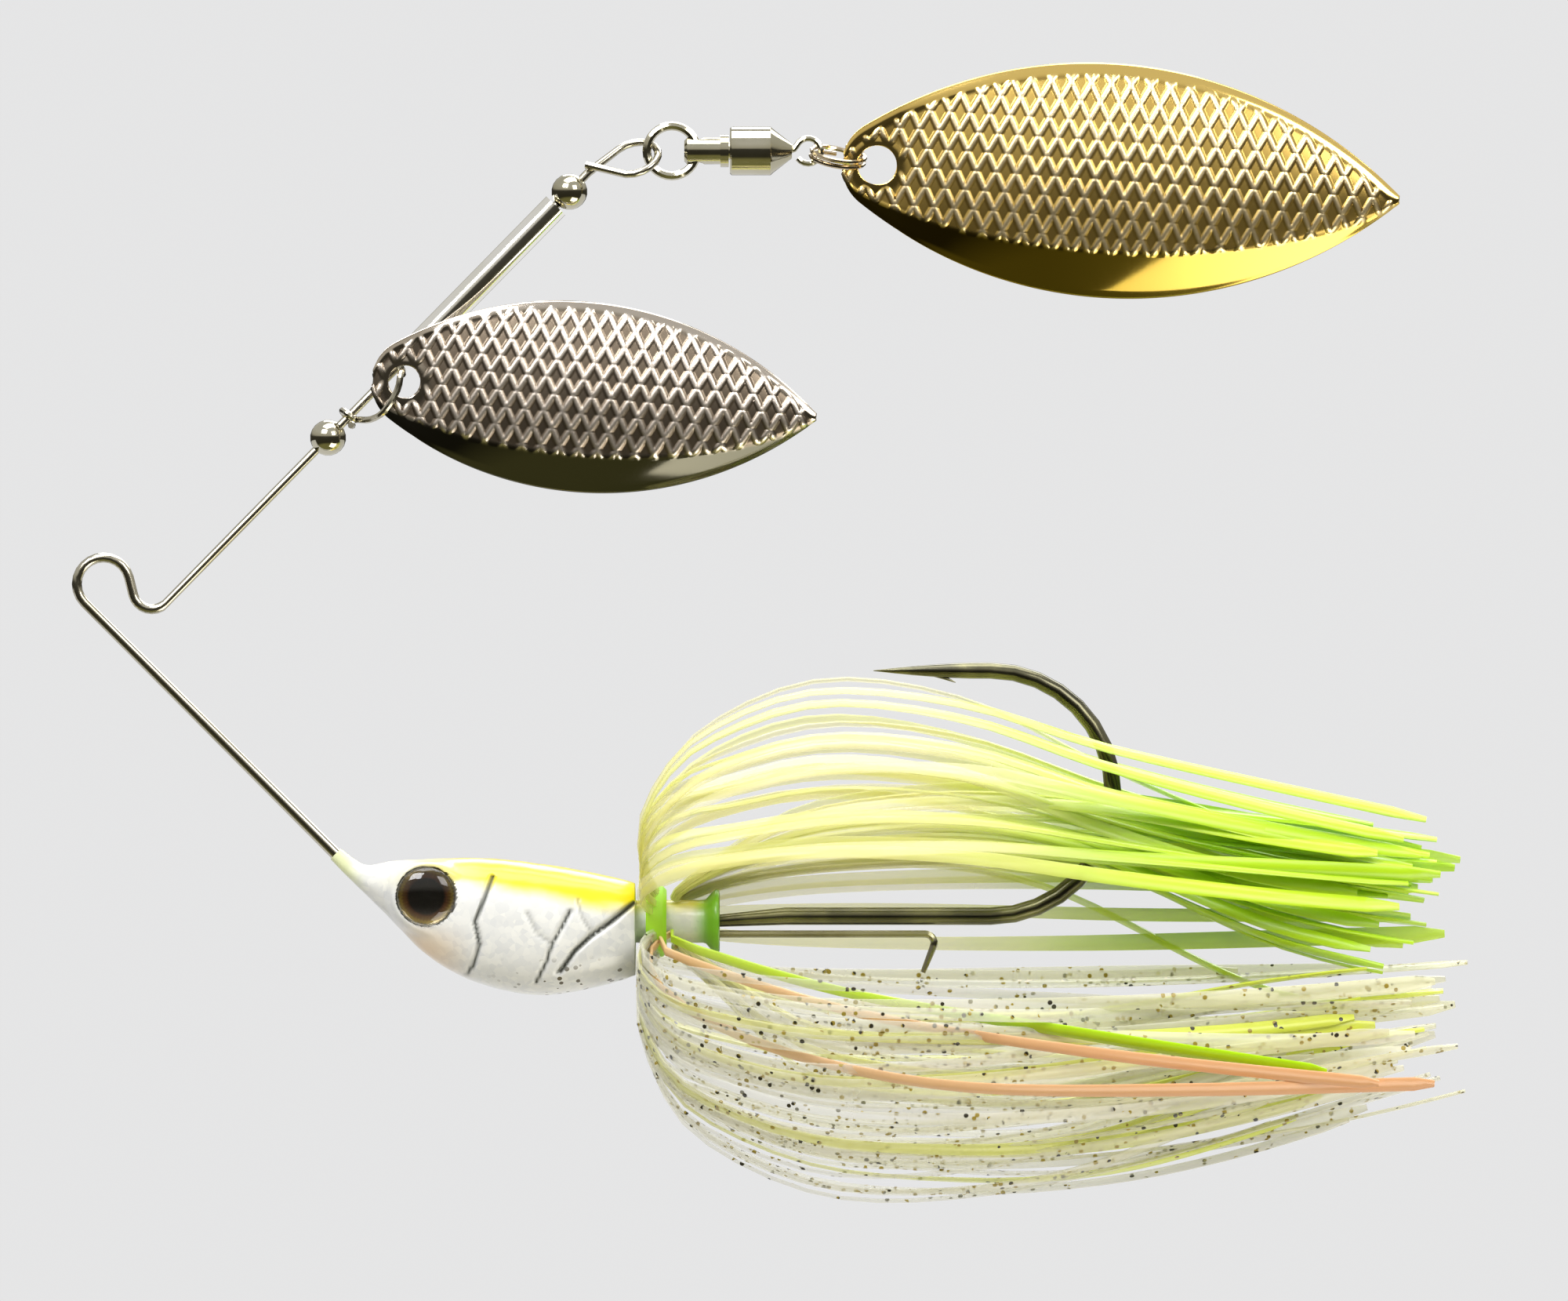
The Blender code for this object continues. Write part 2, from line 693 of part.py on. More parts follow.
def bead(name, distance):
    """A round metal bead, bored for the wire."""
    bore = UPPER_WIRE_RADIUS + BORE_GAP
    start = math.degrees(math.acos(bore / BEAD_RADIUS))
    steps = 8
    profile = []
    for step in range(steps + 1):
        angle = math.radians(start - 2 * start * step / steps)
        profile.append((BEAD_RADIUS * math.cos(angle), BEAD_RADIUS * math.sin(angle)))
    surface = material(f"{name}_plating", (0.75, 0.72, 0.62), 1.0, 0.12)
    return turned(name, profile, surface, arm_point(distance), ARM_DIRECTION, closed=True)


def spacer_sleeve():
    length = UPPER_BEAD_AT - BEAD_RADIUS - 0.1 - SLEEVE_START
    inner = UPPER_WIRE_RADIUS + BORE_GAP
    profile = [(inner, length), (SLEEVE_RADIUS, length), (SLEEVE_RADIUS, 0.0), (inner, 0.0)]
    surface = material("sleeve_plating", (0.85, 0.84, 0.80), 1.0, 0.1)
    return turned("spacer_sleeve", profile, surface, arm_point(SLEEVE_START), ARM_DIRECTION, closed=True)


def clevis_place(along, away, near):
    """A point by the low eye: distance along the arm, away from it, and towards the viewer."""
    return arm_point(CLEVIS_LOW_AT + along) + ARM_AWAY * away - SIDEWAYS * near


def front_clevis():
    """A wire stirrup: an eye round the arm at each end, and a bow that passes through the blade's hole."""
    eye_radius = UPPER_WIRE_RADIUS + CLEVIS_RADIUS + BORE_GAP
    rise = ARM_DIRECTION * (2 * CLEVIS_RADIUS + 0.06)
    low_eye = circle(arm_point(CLEVIS_LOW_AT), -SIDEWAYS, ARM_AWAY, eye_radius, -300, 60, 14, rise)
    high_eye = circle(arm_point(CLEVIS_HIGH_AT), -SIDEWAYS, ARM_AWAY, eye_radius, 0, -270, 11, -rise * 0.7)
    along, away = CLEVIS_CROSSING
    bow = smooth_curve([
        low_eye[-1],
        clevis_place(1.25, 1.25, 1.5),
        clevis_place(2.3, 1.55, 2.62),
        clevis_place(3.9, 1.2, 2.68),
        clevis_place(along - 0.25, away + 0.1, 2.62),
        clevis_place(along, away, -FRONT_BLADE_SIDE),
        clevis_place(along + 0.08, away - 0.25, 1.2),
        high_eye[0],
    ], 3)
    surface = material("clevis_wire", STEEL, 1.0, 0.2)
    return tube("front_clevis", [*low_eye, *bow[1:-1], *high_eye], CLEVIS_RADIUS, surface)


# ---------------------------------------------------------------- blades

def willow_half_width(along, length, widest_half, widest_at):
    """Half the blade's width at a distance from its base.

    Two long arcs meet at the tip. A small arc centred on the long axis closes the base.
    """
    run = length - widest_at
    long_arc = (run**2 + widest_half**2) / (2 * widest_half)
    sunk = long_arc - widest_half
    base_arc = (long_arc**2 - sunk**2 - widest_at**2) / (2 * (long_arc - widest_at))
    touch = base_arc - (widest_at - base_arc) * base_arc / (long_arc - base_arc)
    if along < touch:
        return math.sqrt(max(0.0, base_arc**2 - (along - base_arc) ** 2))
    return max(0.0, math.sqrt(long_arc**2 - (along - widest_at) ** 2) - sunk)


def blade_height(share, across, length):
    """How far the blade bulges towards the viewer: a shallow dome, with a flat bevel along its low edge."""
    bevel_start = 0.62
    flat_base = 0.1
    dome = math.sin(math.pi * max(0.0, share - flat_base) / (1 - flat_base)) ** 0.8
    height = BLADE_DOME * length * dome * (1 - across**2)
    if across < -bevel_start:
        height -= 0.055 * length * dome * (-across - bevel_start)
    return height


def blade(name, shape_of, hole_centre, surface):
    """A willow blade: a grid along and across it, dished and thickened."""
    length, widest_half, widest_at, hole_inset, hole_radius, dip = shape_of
    rows, columns = 24, 10
    base_start, tip_end = 0.004, 0.994
    mesh = bpy.data.meshes.new(name)
    shape = bmesh.new()
    bmesh.ops.create_grid(shape, x_segments=rows, y_segments=columns, size=1.0)
    for vertex in shape.verts:
        part = (1 - math.cos(math.pi * (vertex.co.x + 1) / 2)) / 2
        share = base_start + (tip_end - base_start) * part
        across = vertex.co.y
        half = willow_half_width(share * length, length, widest_half, widest_at)
        height = blade_height(share, across, length)
        vertex.co = metres((share * length - hole_inset, -height, across * half))
    bmesh.ops.reverse_faces(shape, faces=shape.faces)
    shape.to_mesh(mesh)
    shape.free()
    obj = link(name, mesh, surface)
    obj.location = metres(hole_centre)
    obj.rotation_euler = (0, math.radians(dip), 0)
    thick = obj.modifiers.new("thickness", "SOLIDIFY")
    thick.thickness = BLADE_THICKNESS * MM
    thick.offset = 0.0
    hole = cylinder(f"{name}_hole", hole_radius, 4.0, surface, hole_centre, SIDEWAYS, 24)
    boolean(obj, hole, "DIFFERENCE")
    return obj


# ---------------------------------------------------------------- swivel

RING_CENTRE = LOOP_TIP + in_plane(RING_RADIUS - RING_SLACK, 0)
SWIVEL_START = RING_CENTRE + in_plane(RING_RADIUS, 0)
BALL_AT = BARREL_START + BARREL_WALL + BALL_GAP + BALL_RADIUS
FLANGE_START = BALL_AT + BALL_RADIUS + BALL_GAP
BALL_CIRCLE = NECK_RADIUS + BALL_GAP + BALL_RADIUS


def swivel_point(distance):
    return SWIVEL_START + FORWARD * distance


def swivel_ring():
    mesh = bpy.data.meshes.new("swivel_ring")
    shape = bmesh.new()
    steps, sides = 32, 8
    bmesh.ops.create_circle(shape, segments=sides, radius=RING_WIRE * MM)
    bmesh.ops.translate(shape, verts=shape.verts, vec=(RING_RADIUS * MM, 0, 0))
    shape.to_mesh(mesh)
    shape.free()
    surface = material("ring_plating", SILVER, 1.0, 0.15)
    obj = link("swivel_ring", mesh, surface)
    screw = obj.modifiers.new("ring", "SCREW")
    screw.axis = "Y"
    screw.steps = steps
    screw.render_steps = steps
    screw.use_merge_vertices = True
    screw.merge_threshold = 1e-3 * MM
    obj.location = metres(RING_CENTRE)
    return obj


def swivel_post():
    """The post: its eye takes the ring, and its flange pulls on the balls inside the barrel."""
    flange_end = FLANGE_START + FLANGE_WIDTH
    collar_end = BARREL_START - 0.08
    chamfer = 0.2
    profile = [
        (0.0, flange_end), (FLANGE_RADIUS, flange_end), (FLANGE_RADIUS, FLANGE_START),
        (NECK_RADIUS, FLANGE_START), (NECK_RADIUS, collar_end), (COLLAR_RADIUS, collar_end),
        (COLLAR_RADIUS, COLLAR_START), (POST_RADIUS, COLLAR_START),
        (POST_RADIUS, POST_START + chamfer), (POST_RADIUS - chamfer, POST_START), (0.0, POST_START),
    ]
    surface = material("post_plating", SILVER, 1.0, 0.18)
    made = turned("swivel_post", profile, surface, SWIVEL_START, FORWARD)
    waist, waist_half_length, mouth, reach = 0.42, 0.15, 0.68, 1.4
    hole_profile = [
        (0.0, reach), (mouth, reach), (waist, waist_half_length),
        (waist, -waist_half_length), (mouth, -reach), (0.0, -reach),
    ]
    hole = turned("post_hole", hole_profile, surface, SWIVEL_START - FORWARD * 0.06, UP, 20)
    boolean(made, hole, "DIFFERENCE")
    return made


def swivel_barrel():
    """A shell, open in front for the post's neck and behind for the end eye."""
    cavity = BARREL_RADIUS - BARREL_WALL
    mouth = NECK_RADIUS + 0.12
    rear_bore = SWIVEL_EYE_WIRE + BORE_GAP
    inner_front = BARREL_START + BARREL_WALL
    inner_back = BARREL_CONE_START - 0.1
    edge = 0.12
    profile = [
        (rear_bore, BARREL_END), (BARREL_TIP_RADIUS, BARREL_END),
        (BARREL_RADIUS - edge, BARREL_CONE_START + edge), (BARREL_RADIUS, BARREL_CONE_START),
        (BARREL_RADIUS, BARREL_START + edge),
        (BARREL_RADIUS - edge, BARREL_START), (mouth, BARREL_START), (mouth, inner_front),
        (cavity, inner_front), (cavity, inner_back), (rear_bore, inner_back + 0.5),
    ]
    surface = material("barrel_plating", SILVER, 1.0, 0.12)
    return turned("swivel_barrel", profile, surface, SWIVEL_START, FORWARD, closed=True)


def bearing_balls():
    surface = material("ball_steel", (0.6, 0.6, 0.6), 1.0, 0.1)
    mesh = bpy.data.meshes.new("bearing_ball")
    shape = bmesh.new()
    bmesh.ops.create_icosphere(shape, subdivisions=2, radius=BALL_RADIUS * MM)
    shape.to_mesh(mesh)
    shape.free()
    made = []
    for index in range(BALL_COUNT):
        angle = 2 * math.pi * index / BALL_COUNT
        obj = bpy.data.objects.new(f"bearing_ball_{index + 1}", mesh)
        PARTS.objects.link(obj)
        around = Vector((0, math.cos(angle), math.sin(angle)))
        obj.location = metres(swivel_point(BALL_AT) + around * BALL_CIRCLE)
        made.append(obj)
    mesh.materials.append(surface)
    return made


def swivel_eye():
    """A wire eye behind the barrel, headed over inside it."""
    surface = material("eye_wire", SILVER, 1.0, 0.18)
    centre = swivel_point(SWIVEL_EYE_AT)
    head_start = BARREL_CONE_START - 0.1
    loop_start = SWIVEL_EYE_AT - SWIVEL_EYE_RADIUS
    shank = [swivel_point(head_start + step) for step in (0.0, 0.2, 0.25)]
    shank += [swivel_point(loop_start - 0.45), swivel_point(loop_start - 0.1) + UP * 0.12]
    loop = circle(centre, FORWARD, UP, SWIVEL_EYE_RADIUS, 155, -145, 16)
    head_share = 1.9
    radii = [head_share, head_share] + [1.0] * (len(shank) - 2 + len(loop))
    return tube("swivel_eye", shank + loop, SWIVEL_EYE_WIRE, surface, radii)


# ---------------------------------------------------------------- split ring

SPLIT_LEFT = swivel_point(SWIVEL_EYE_AT + 0.24)
SPLIT_ALONG = direction(-SPLIT_DROP)
SPLIT_CENTRE = SPLIT_LEFT + SPLIT_ALONG * SPLIT_RADIUS
SPLIT_RIGHT = SPLIT_LEFT + SPLIT_ALONG * 2 * SPLIT_RADIUS
REAR_HOLE = SPLIT_RIGHT + in_plane(0.90, -0.21)
CLEVIS_BOW = arm_point(CLEVIS_LOW_AT + CLEVIS_CROSSING[0]) + ARM_AWAY * CLEVIS_CROSSING[1]
FRONT_HOLE = CLEVIS_BOW + in_plane(0.14, -0.72, FRONT_BLADE_SIDE)


def split_ring():
    """Nearly two turns of wire, side by side. The ends are on the far side."""
    roll = Matrix.Rotation(math.radians(SPLIT_ROLL), 3, SPLIT_ALONG)
    across = roll @ SIDEWAYS
    normal = SPLIT_ALONG.cross(across)
    turns = 1.95
    first_deg = 95
    rise = normal * SPLIT_PITCH * turns
    surface = material("split_ring_wire", (0.62, 0.58, 0.50), 1.0, 0.2)
    last_deg = first_deg + 360 * turns
    points = circle(SPLIT_CENTRE - rise / 2, SPLIT_ALONG, across, SPLIT_RADIUS, first_deg, last_deg, 46, rise)
    return tube("split_ring", points, SPLIT_WIRE, surface)


# ---------------------------------------------------------------- the whole lure

def build():
    head()
    for side, name in ((-1, "left"), (1, "right")):
        eye(side, name)
    wire_form()
    hook()
    trailer_keeper()
    skirt_band()
    chartreuse = material("chartreuse_silicone", (0.72, 0.86, 0.10), 0.0, 0.35)
    pearl = material("pearl_silicone", (0.82, 0.84, 0.72), 0.0, 0.35)
    upper_strands(chartreuse)
    lower_strands(pearl)
    side_strands(chartreuse)
    bead("lower_bead", LOWER_BEAD_AT)

    clevis_pivot = body_pivot("clevis_pivot", arm_point(CLEVIS_LOW_AT))
    hang(clevis_pivot, front_clevis())
    front_surface = material("nickel_blade", SILVER, 1.0, 0.15)
    front_pivot = body_pivot("front_blade_pivot", CLEVIS_BOW + SIDEWAYS * FRONT_BLADE_SIDE)
    hang(front_pivot, blade("front_blade", FRONT_BLADE, FRONT_HOLE, front_surface))
    hang(clevis_pivot, front_pivot)
    hang(body_pivot("sleeve_pivot", arm_point(SLEEVE_START)), spacer_sleeve())
    hang(body_pivot("upper_bead_pivot", arm_point(UPPER_BEAD_AT)), bead("upper_bead", UPPER_BEAD_AT))

    ring_pivot = body_pivot("ring_pivot", LOOP_TIP)
    hang(ring_pivot, swivel_ring())
    post_pivot = body_pivot("post_pivot", SWIVEL_START)
    hang(post_pivot, swivel_post())
    barrel_pivot = body_pivot("barrel_pivot", swivel_point(BARREL_START))
    hang(barrel_pivot, swivel_barrel(), swivel_eye())
    ball_pivot = body_pivot("ball_pivot", swivel_point(BALL_AT))
    hang(ball_pivot, *bearing_balls())
    split_pivot = body_pivot("split_ring_pivot", SPLIT_LEFT)
    hang(split_pivot, split_ring())
    rear_pivot = body_pivot("rear_blade_pivot", SPLIT_RIGHT)
    rear_surface = material("brass_blade", BRASS, 1.0, 0.15)
    hang(rear_pivot, blade("rear_blade", REAR_BLADE, REAR_HOLE, rear_surface))
    hang(split_pivot, rear_pivot)
    hang(barrel_pivot, split_pivot)
    hang(post_pivot, barrel_pivot, ball_pivot)
    hang(ring_pivot, post_pivot)
    for obj in PARTS.objects:
        if obj.type == "MESH" and not obj.name.startswith("skirt_strand"):
            shade(obj)


build()
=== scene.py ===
"""The looks of the tandem-willow spinnerbait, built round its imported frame.

Places come from the frame's own boxes and joints. Lengths below are millimetres, as in the part's
source, and the helpers turn them into Blender's metres. The lure's left side faces -Y.
"""

import json
import math
import random

import bmesh
import bpy
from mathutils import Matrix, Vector, noise


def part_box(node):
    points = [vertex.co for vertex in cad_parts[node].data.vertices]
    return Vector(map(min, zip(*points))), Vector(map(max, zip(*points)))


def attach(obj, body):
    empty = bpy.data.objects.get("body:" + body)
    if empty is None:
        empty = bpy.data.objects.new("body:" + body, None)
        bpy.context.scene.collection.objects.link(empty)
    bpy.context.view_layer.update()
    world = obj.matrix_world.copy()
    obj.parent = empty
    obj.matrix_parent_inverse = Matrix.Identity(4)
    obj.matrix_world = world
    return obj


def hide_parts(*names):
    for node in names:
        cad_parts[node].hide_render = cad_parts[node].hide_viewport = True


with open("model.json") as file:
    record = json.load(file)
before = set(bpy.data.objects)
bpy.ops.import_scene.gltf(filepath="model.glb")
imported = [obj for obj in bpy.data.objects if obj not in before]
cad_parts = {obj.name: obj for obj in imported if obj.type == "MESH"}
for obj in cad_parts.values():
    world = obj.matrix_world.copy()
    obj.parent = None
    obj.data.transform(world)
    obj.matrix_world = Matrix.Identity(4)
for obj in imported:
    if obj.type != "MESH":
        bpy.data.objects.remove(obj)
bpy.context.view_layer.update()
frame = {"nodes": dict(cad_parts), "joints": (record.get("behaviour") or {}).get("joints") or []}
NODES = frame["nodes"]
JOINTS = {joint["name"]: joint for joint in frame["joints"]}
MM = 0.001
PER_METRE = 1000

# What the frame says, in millimetres
BAND_LOW, BAND_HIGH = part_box("skirt_band")
FOIL_LOW, FOIL_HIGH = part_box("eye_foil_left")
STEM_LEVEL = (BAND_LOW.z + BAND_HIGH.z) / 2 * PER_METRE
STEM_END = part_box("head")[1].x * PER_METRE
EYE_CENTRE = (FOIL_LOW + FOIL_HIGH) / 2 * PER_METRE
EYE_RADIUS = (FOIL_HIGH.x - FOIL_LOW.x) / 2 * PER_METRE


# ---------------------------------------------------------------- helpers

def metres(point):
    return Vector(point) * MM


def link(name, mesh, surface):
    obj = bpy.data.objects.new(name, mesh)
    bpy.context.scene.collection.objects.link(obj)
    mesh.materials.append(surface)
    return obj


def mesh_object(name, points, faces, surface, smooth_deg=40.0):
    """A new piece from points in millimetres."""
    mesh = bpy.data.meshes.new(name)
    mesh.from_pydata([metres(point) for point in points], [], faces)
    mesh.shade_smooth()
    mesh.set_sharp_from_angle(angle=math.radians(smooth_deg))
    return link(name, mesh, surface)


def ring_faces(rings, count, first=0, flipped=False):
    """Quads that join each ring of count points to the next ring, from point number first on."""
    faces = []
    for ring in range(rings - 1):
        low = first + ring * count
        high = low + count
        for index in range(count):
            after = (index + 1) % count
            corners = (low + index, low + after, high + after, high + index)
            faces.append((corners[0], *reversed(corners[1:])) if flipped else corners)
    return faces


def smooth_step(low, high, value):
    """0 below low, 1 above high, and a smooth rise between."""
    part = min(1.0, max(0.0, (value - low) / (high - low)))
    return part * part * (3 - 2 * part)


def between(rows, part):
    """The value at this share of the way along rows of (share, value, ...), by Catmull-Rom."""
    for index in range(len(rows) - 1):
        if part <= rows[index + 1][0]:
            break
    low, high = rows[index], rows[index + 1]
    before = rows[max(0, index - 1)]
    after = rows[min(len(rows) - 1, index + 2)]
    t = (part - low[0]) / (high[0] - low[0])
    found = []
    for a, b, c, d in zip(before[1:], low[1:], high[1:], after[1:]):
        bend = 2 * a - 5 * b + 4 * c - d
        twist = 3 * b - a - 3 * c + d
        found.append(0.5 * (2 * b + (c - a) * t + bend * t**2 + twist * t**3))
    return found


# ---------------------------------------------------------------- node helpers

def set_stops(ramp, stops):
    """Fills a colour ramp from (position, colour) pairs."""
    while len(ramp.elements) < len(stops):
        ramp.elements.new(0.5)
    for element, (position, colour) in zip(ramp.elements, stops):
        element.position = position
        element.color = (*colour, 1.0)


class Nodes:
    """A material with a Principled shader, and short calls for the nodes that feed it."""

    def __init__(self, name, colour, metallic=0.0, roughness=0.4, **sockets):
        self.material = bpy.data.materials.new(name)
        self.material.use_nodes = True
        self.tree = self.material.node_tree
        self.shader = self.tree.nodes["Principled BSDF"]
        self.shader.inputs["Base Color"].default_value = (*colour, 1.0)
        self.shader.inputs["Metallic"].default_value = metallic
        self.shader.inputs["Roughness"].default_value = roughness
        for socket, value in sockets.items():
            self.shader.inputs[socket.replace("_", " ")].default_value = value
        self.object_place = self.node("ShaderNodeTexCoord").outputs["Object"]

    def node(self, kind, **settings):
        """A new node with these settings."""
        made = self.tree.nodes.new(kind)
        for key, value in settings.items():
            setattr(made, key, value)
        return made

    def feed(self, socket, value):
        """Sets a socket to a number or a colour, or links another node's output to it."""
        if isinstance(value, (int, float)):
            socket.default_value = value
        elif isinstance(value, tuple):
            socket.default_value = (*value, 1.0) if len(socket.default_value) == 4 else value
        else:
            self.tree.links.new(value, socket)

    def math(self, operation, first, second=0.0):
        made = self.node("ShaderNodeMath", operation=operation)
        self.feed(made.inputs[0], first)
        self.feed(made.inputs[1], second)
        return made.outputs[0]

    def times(self, first, second):
        return self.math("MULTIPLY", first, second)

    def plus(self, first, second):
        return self.math("ADD", first, second)

    def minus(self, first, second):
        return self.math("SUBTRACT", first, second)

    def ramp(self, value, stops):
        made = self.node("ShaderNodeValToRGB")
        set_stops(made.color_ramp, stops)
        self.feed(made.inputs[0], value)
        return made.outputs[0]

    def mix(self, share, first, second):
        made = self.node("ShaderNodeMix", data_type="RGBA")
        self.feed(made.inputs[0], share)
        self.feed(made.inputs[6], first)
        self.feed(made.inputs[7], second)
        return made.outputs[2]

    def noise(self, scale, detail=3.0):
        """Soft noise from 0 to 1. scale is in spots to the metre."""
        made = self.node("ShaderNodeTexNoise")
        made.inputs["Scale"].default_value = scale
        made.inputs["Detail"].default_value = detail
        self.feed(made.inputs["Vector"], self.object_place)
        return made.outputs[0]

    def cells(self, scale, output="Distance"):
        """Random cells: how far each place is from its cell's middle, or the cell's colour."""
        made = self.node("ShaderNodeTexVoronoi")
        made.inputs["Scale"].default_value = scale
        self.feed(made.inputs["Vector"], self.object_place)
        return made.outputs[output]

    def place(self):
        """The X, Y and Z of the place on the piece, in millimetres."""
        split = self.node("ShaderNodeSeparateXYZ")
        self.feed(split.inputs[0], self.object_place)
        return [self.times(split.outputs[axis], float(PER_METRE)) for axis in range(3)]

    def attribute(self, name):
        """A value stored on the mesh's points."""
        return self.node("ShaderNodeAttribute", attribute_name=name).outputs["Fac"]

    def span(self, value, low, high):
        """0 at low and 1 at high, with a smooth rise between. low may be the larger."""
        made = self.node("ShaderNodeMapRange", interpolation_type="SMOOTHSTEP")
        self.feed(made.inputs[0], value)
        self.feed(made.inputs[1], low)
        self.feed(made.inputs[2], high)
        return made.outputs[0]

    def bump(self, height, strength, distance_mm):
        made = self.node("ShaderNodeBump")
        made.inputs["Strength"].default_value = strength
        made.inputs["Distance"].default_value = distance_mm * MM
        self.feed(made.inputs["Height"], height)
        self.feed(self.shader.inputs["Normal"], made.outputs[0])

    def colour(self, value):
        self.feed(self.shader.inputs["Base Color"], value)

    def rough(self, value):
        self.feed(self.shader.inputs["Roughness"], value)

    def alpha(self, value):
        self.feed(self.shader.inputs["Alpha"], value)


# ---------------------------------------------------------------- metals

CRISP_DEG = 42
WELD_DISTANCE = 0.0005


def plated(name, colour, worn, roughness=0.12, brushing=0.1):
    """A polished or drawn metal: slight tint changes, fine scratches and small dull patches."""
    made = Nodes(name, colour, 1.0, roughness)
    cloud = made.noise(180.0, 4.0)
    made.colour(made.mix(made.span(cloud, 0.42, 0.72), colour, worn))
    fine = made.noise(2600.0, 2.0)
    streak = made.times(fine, brushing)
    made.rough(made.plus(made.times(cloud, roughness), streak))
    made.bump(fine, 0.02, 0.01)
    return made.material


def black_nickel():
    """The hook's dark plating."""
    made = Nodes("black_nickel", (0.09, 0.085, 0.06), 1.0, 0.22)
    cloud = made.noise(240.0, 4.0)
    made.colour(made.mix(made.span(cloud, 0.4, 0.7), (0.11, 0.105, 0.07), (0.22, 0.21, 0.12)))
    made.rough(made.plus(made.times(cloud, 0.22), 0.12))
    made.bump(made.noise(3000.0, 2.0), 0.1, 0.01)
    return made.material


def dress(surface, *names):
    """A material and smooth shading for CAD pieces. Their edges sharper than CRISP_DEG stay crisp."""
    for name in names:
        node = NODES[name]
        node.data.materials.clear()
        node.data.materials.append(surface)
        imported_normals = node.data.attributes.get("custom_normal")
        if imported_normals:
            node.data.attributes.remove(imported_normals)
        node.data.shade_smooth()
        weld = node.modifiers.new("weld", "WELD")
        weld.merge_threshold = WELD_DISTANCE * MM
        split = node.modifiers.new("crisp edges", "EDGE_SPLIT")
        split.split_angle = math.radians(CRISP_DEG)
        split.use_edge_sharp = False


# ---------------------------------------------------------------- blades

# The diamond pattern: cell length, cell height, ridge half width and ridge height
GOLD_CELLS = (1.35, 2.6, 0.24, 0.16)
NICKEL_CELLS = (1.28, 2.3, 0.24, 0.16)

# Length, half width, from the base to the widest place and to the hole, hole radius, dip in degrees
REAR_BLADE = (38.13, 7.9, 18.13, 2.4, 1.33, 3.8)
FRONT_BLADE = (30.4, 6.4, 14.24, 2.24, 1.1, 4.9)

# From each flap joint's axis to the centre of the blade's hole
REAR_HOLE_STEP = Vector((0.90, 0, -0.21))
FRONT_HOLE_STEP = Vector((0.14, 0, -0.72))

# The plain rim above the pattern
GOLD_RIM = 0.4
NICKEL_RIM = 0.1

BLADE_THICKNESS = 0.34
BLADE_DOME = 0.036
FLAT_BASE = 0.1
EDGE_DROP = 0.04

# The bevel: where it starts, as a share of the half width, how that rises to the ends, and its extra slope
BEVEL_START = 0.61
BEVEL_RISE = 0.16
BEVEL_SLOPE = 0.055

# The grid's spacing, and how far its rows bunch towards the ends
GRID_STEP = 0.11
BUNCHING = 0.18


def line_spacing(cells):
    """The distance between neighbouring parallel lines of the diamond pattern."""
    return 1 / math.hypot(1 / cells[0], 1 / cells[1])


def cell_distance(along, across, cells):
    """The distance to the nearest line of the diamond pattern."""
    nearest = 1.0
    for sign in (-1, 1):
        phase = along / cells[0] + sign * across / cells[1]
        nearest = min(nearest, abs(phase - round(phase)))
    return nearest * line_spacing(cells)


def blade_material(name, cell_colour, ridge_highlight_colour, bevel_reflection_colour, bevel_tip_reflection, cells, rim):
    """Painted highlight on the pale ridges and painted shade in the darker cells, and a painted dark
    reflection on the bevel that lightens towards the tip.
    """
    made = Nodes(name, cell_colour, 1.0, 0.16)
    x, _, z = made.place()
    along = made.math("DIVIDE", x, cells[0])
    across = made.math("DIVIDE", z, cells[1])
    nearest = []
    for operation in ("ADD", "SUBTRACT"):
        phase = made.math(operation, along, across)
        nearest.append(made.math("ABSOLUTE", made.minus(phase, made.math("ROUND", phase))))
    line = made.times(made.math("MINIMUM", *nearest), line_spacing(cells))
    ridge = made.minus(1.0, made.span(line, 0.02, cells[2]))
    mask = made.attribute("pattern")
    low = made.attribute("bevel")
    cloud = made.noise(160.0, 3.0)
    # Painted shade: the cells are darker than the plate, varied at random by the cloud. Painted highlight:
    # the ridges are paler.
    shaded_cells = made.mix(cloud, cell_colour, tuple(0.62 * c for c in cell_colour))
    pattern = made.mix(ridge, shaded_cells, ridge_highlight_colour)
    length_share = made.span(x, 11.0, 33.0)
    # Painted reflection: the bevel is dark where it faces the dark surroundings below the front, and lighter
    # towards the tip.
    plain = made.mix(low, rim, made.mix(length_share, bevel_reflection_colour, bevel_tip_reflection))
    made.colour(made.mix(mask, plain, pattern))
    rough = made.plus(made.times(mask, 0.24), made.times(cloud, 0.12))
    made.rough(made.plus(rough, 0.03))
    made.bump(made.noise(1800.0, 2.0), 0.06, 0.01)
    return made.material


def willow_half_width(along, length, widest_half, widest_at):
    """Half the blade's width at a distance from its base: the same outline as the CAD blade's."""
    run = length - widest_at
    long_arc = (run**2 + widest_half**2) / (2 * widest_half)
    sunk = long_arc - widest_half
    base_arc = (long_arc**2 - sunk**2 - widest_at**2) / (2 * (long_arc - widest_at))
    touch = base_arc - (widest_at - base_arc) * base_arc / (long_arc - base_arc)
    if along < touch:
        return math.sqrt(max(0.0, base_arc**2 - (along - base_arc) ** 2))
    return max(0.0, math.sqrt(long_arc**2 - (along - widest_at) ** 2) - sunk)


def blade_surface(share, across, length):
    """How far the blade bulges towards the viewer, before its pattern: as the CAD blade does."""
    dome = math.sin(math.pi * max(0.0, share - FLAT_BASE) / (1 - FLAT_BASE)) ** 0.8
    height = BLADE_DOME * length * dome * (1 - across**2)
    if across < -BEVEL_START:
        height -= BEVEL_SLOPE * length * dome * (-across - BEVEL_START)
    return height


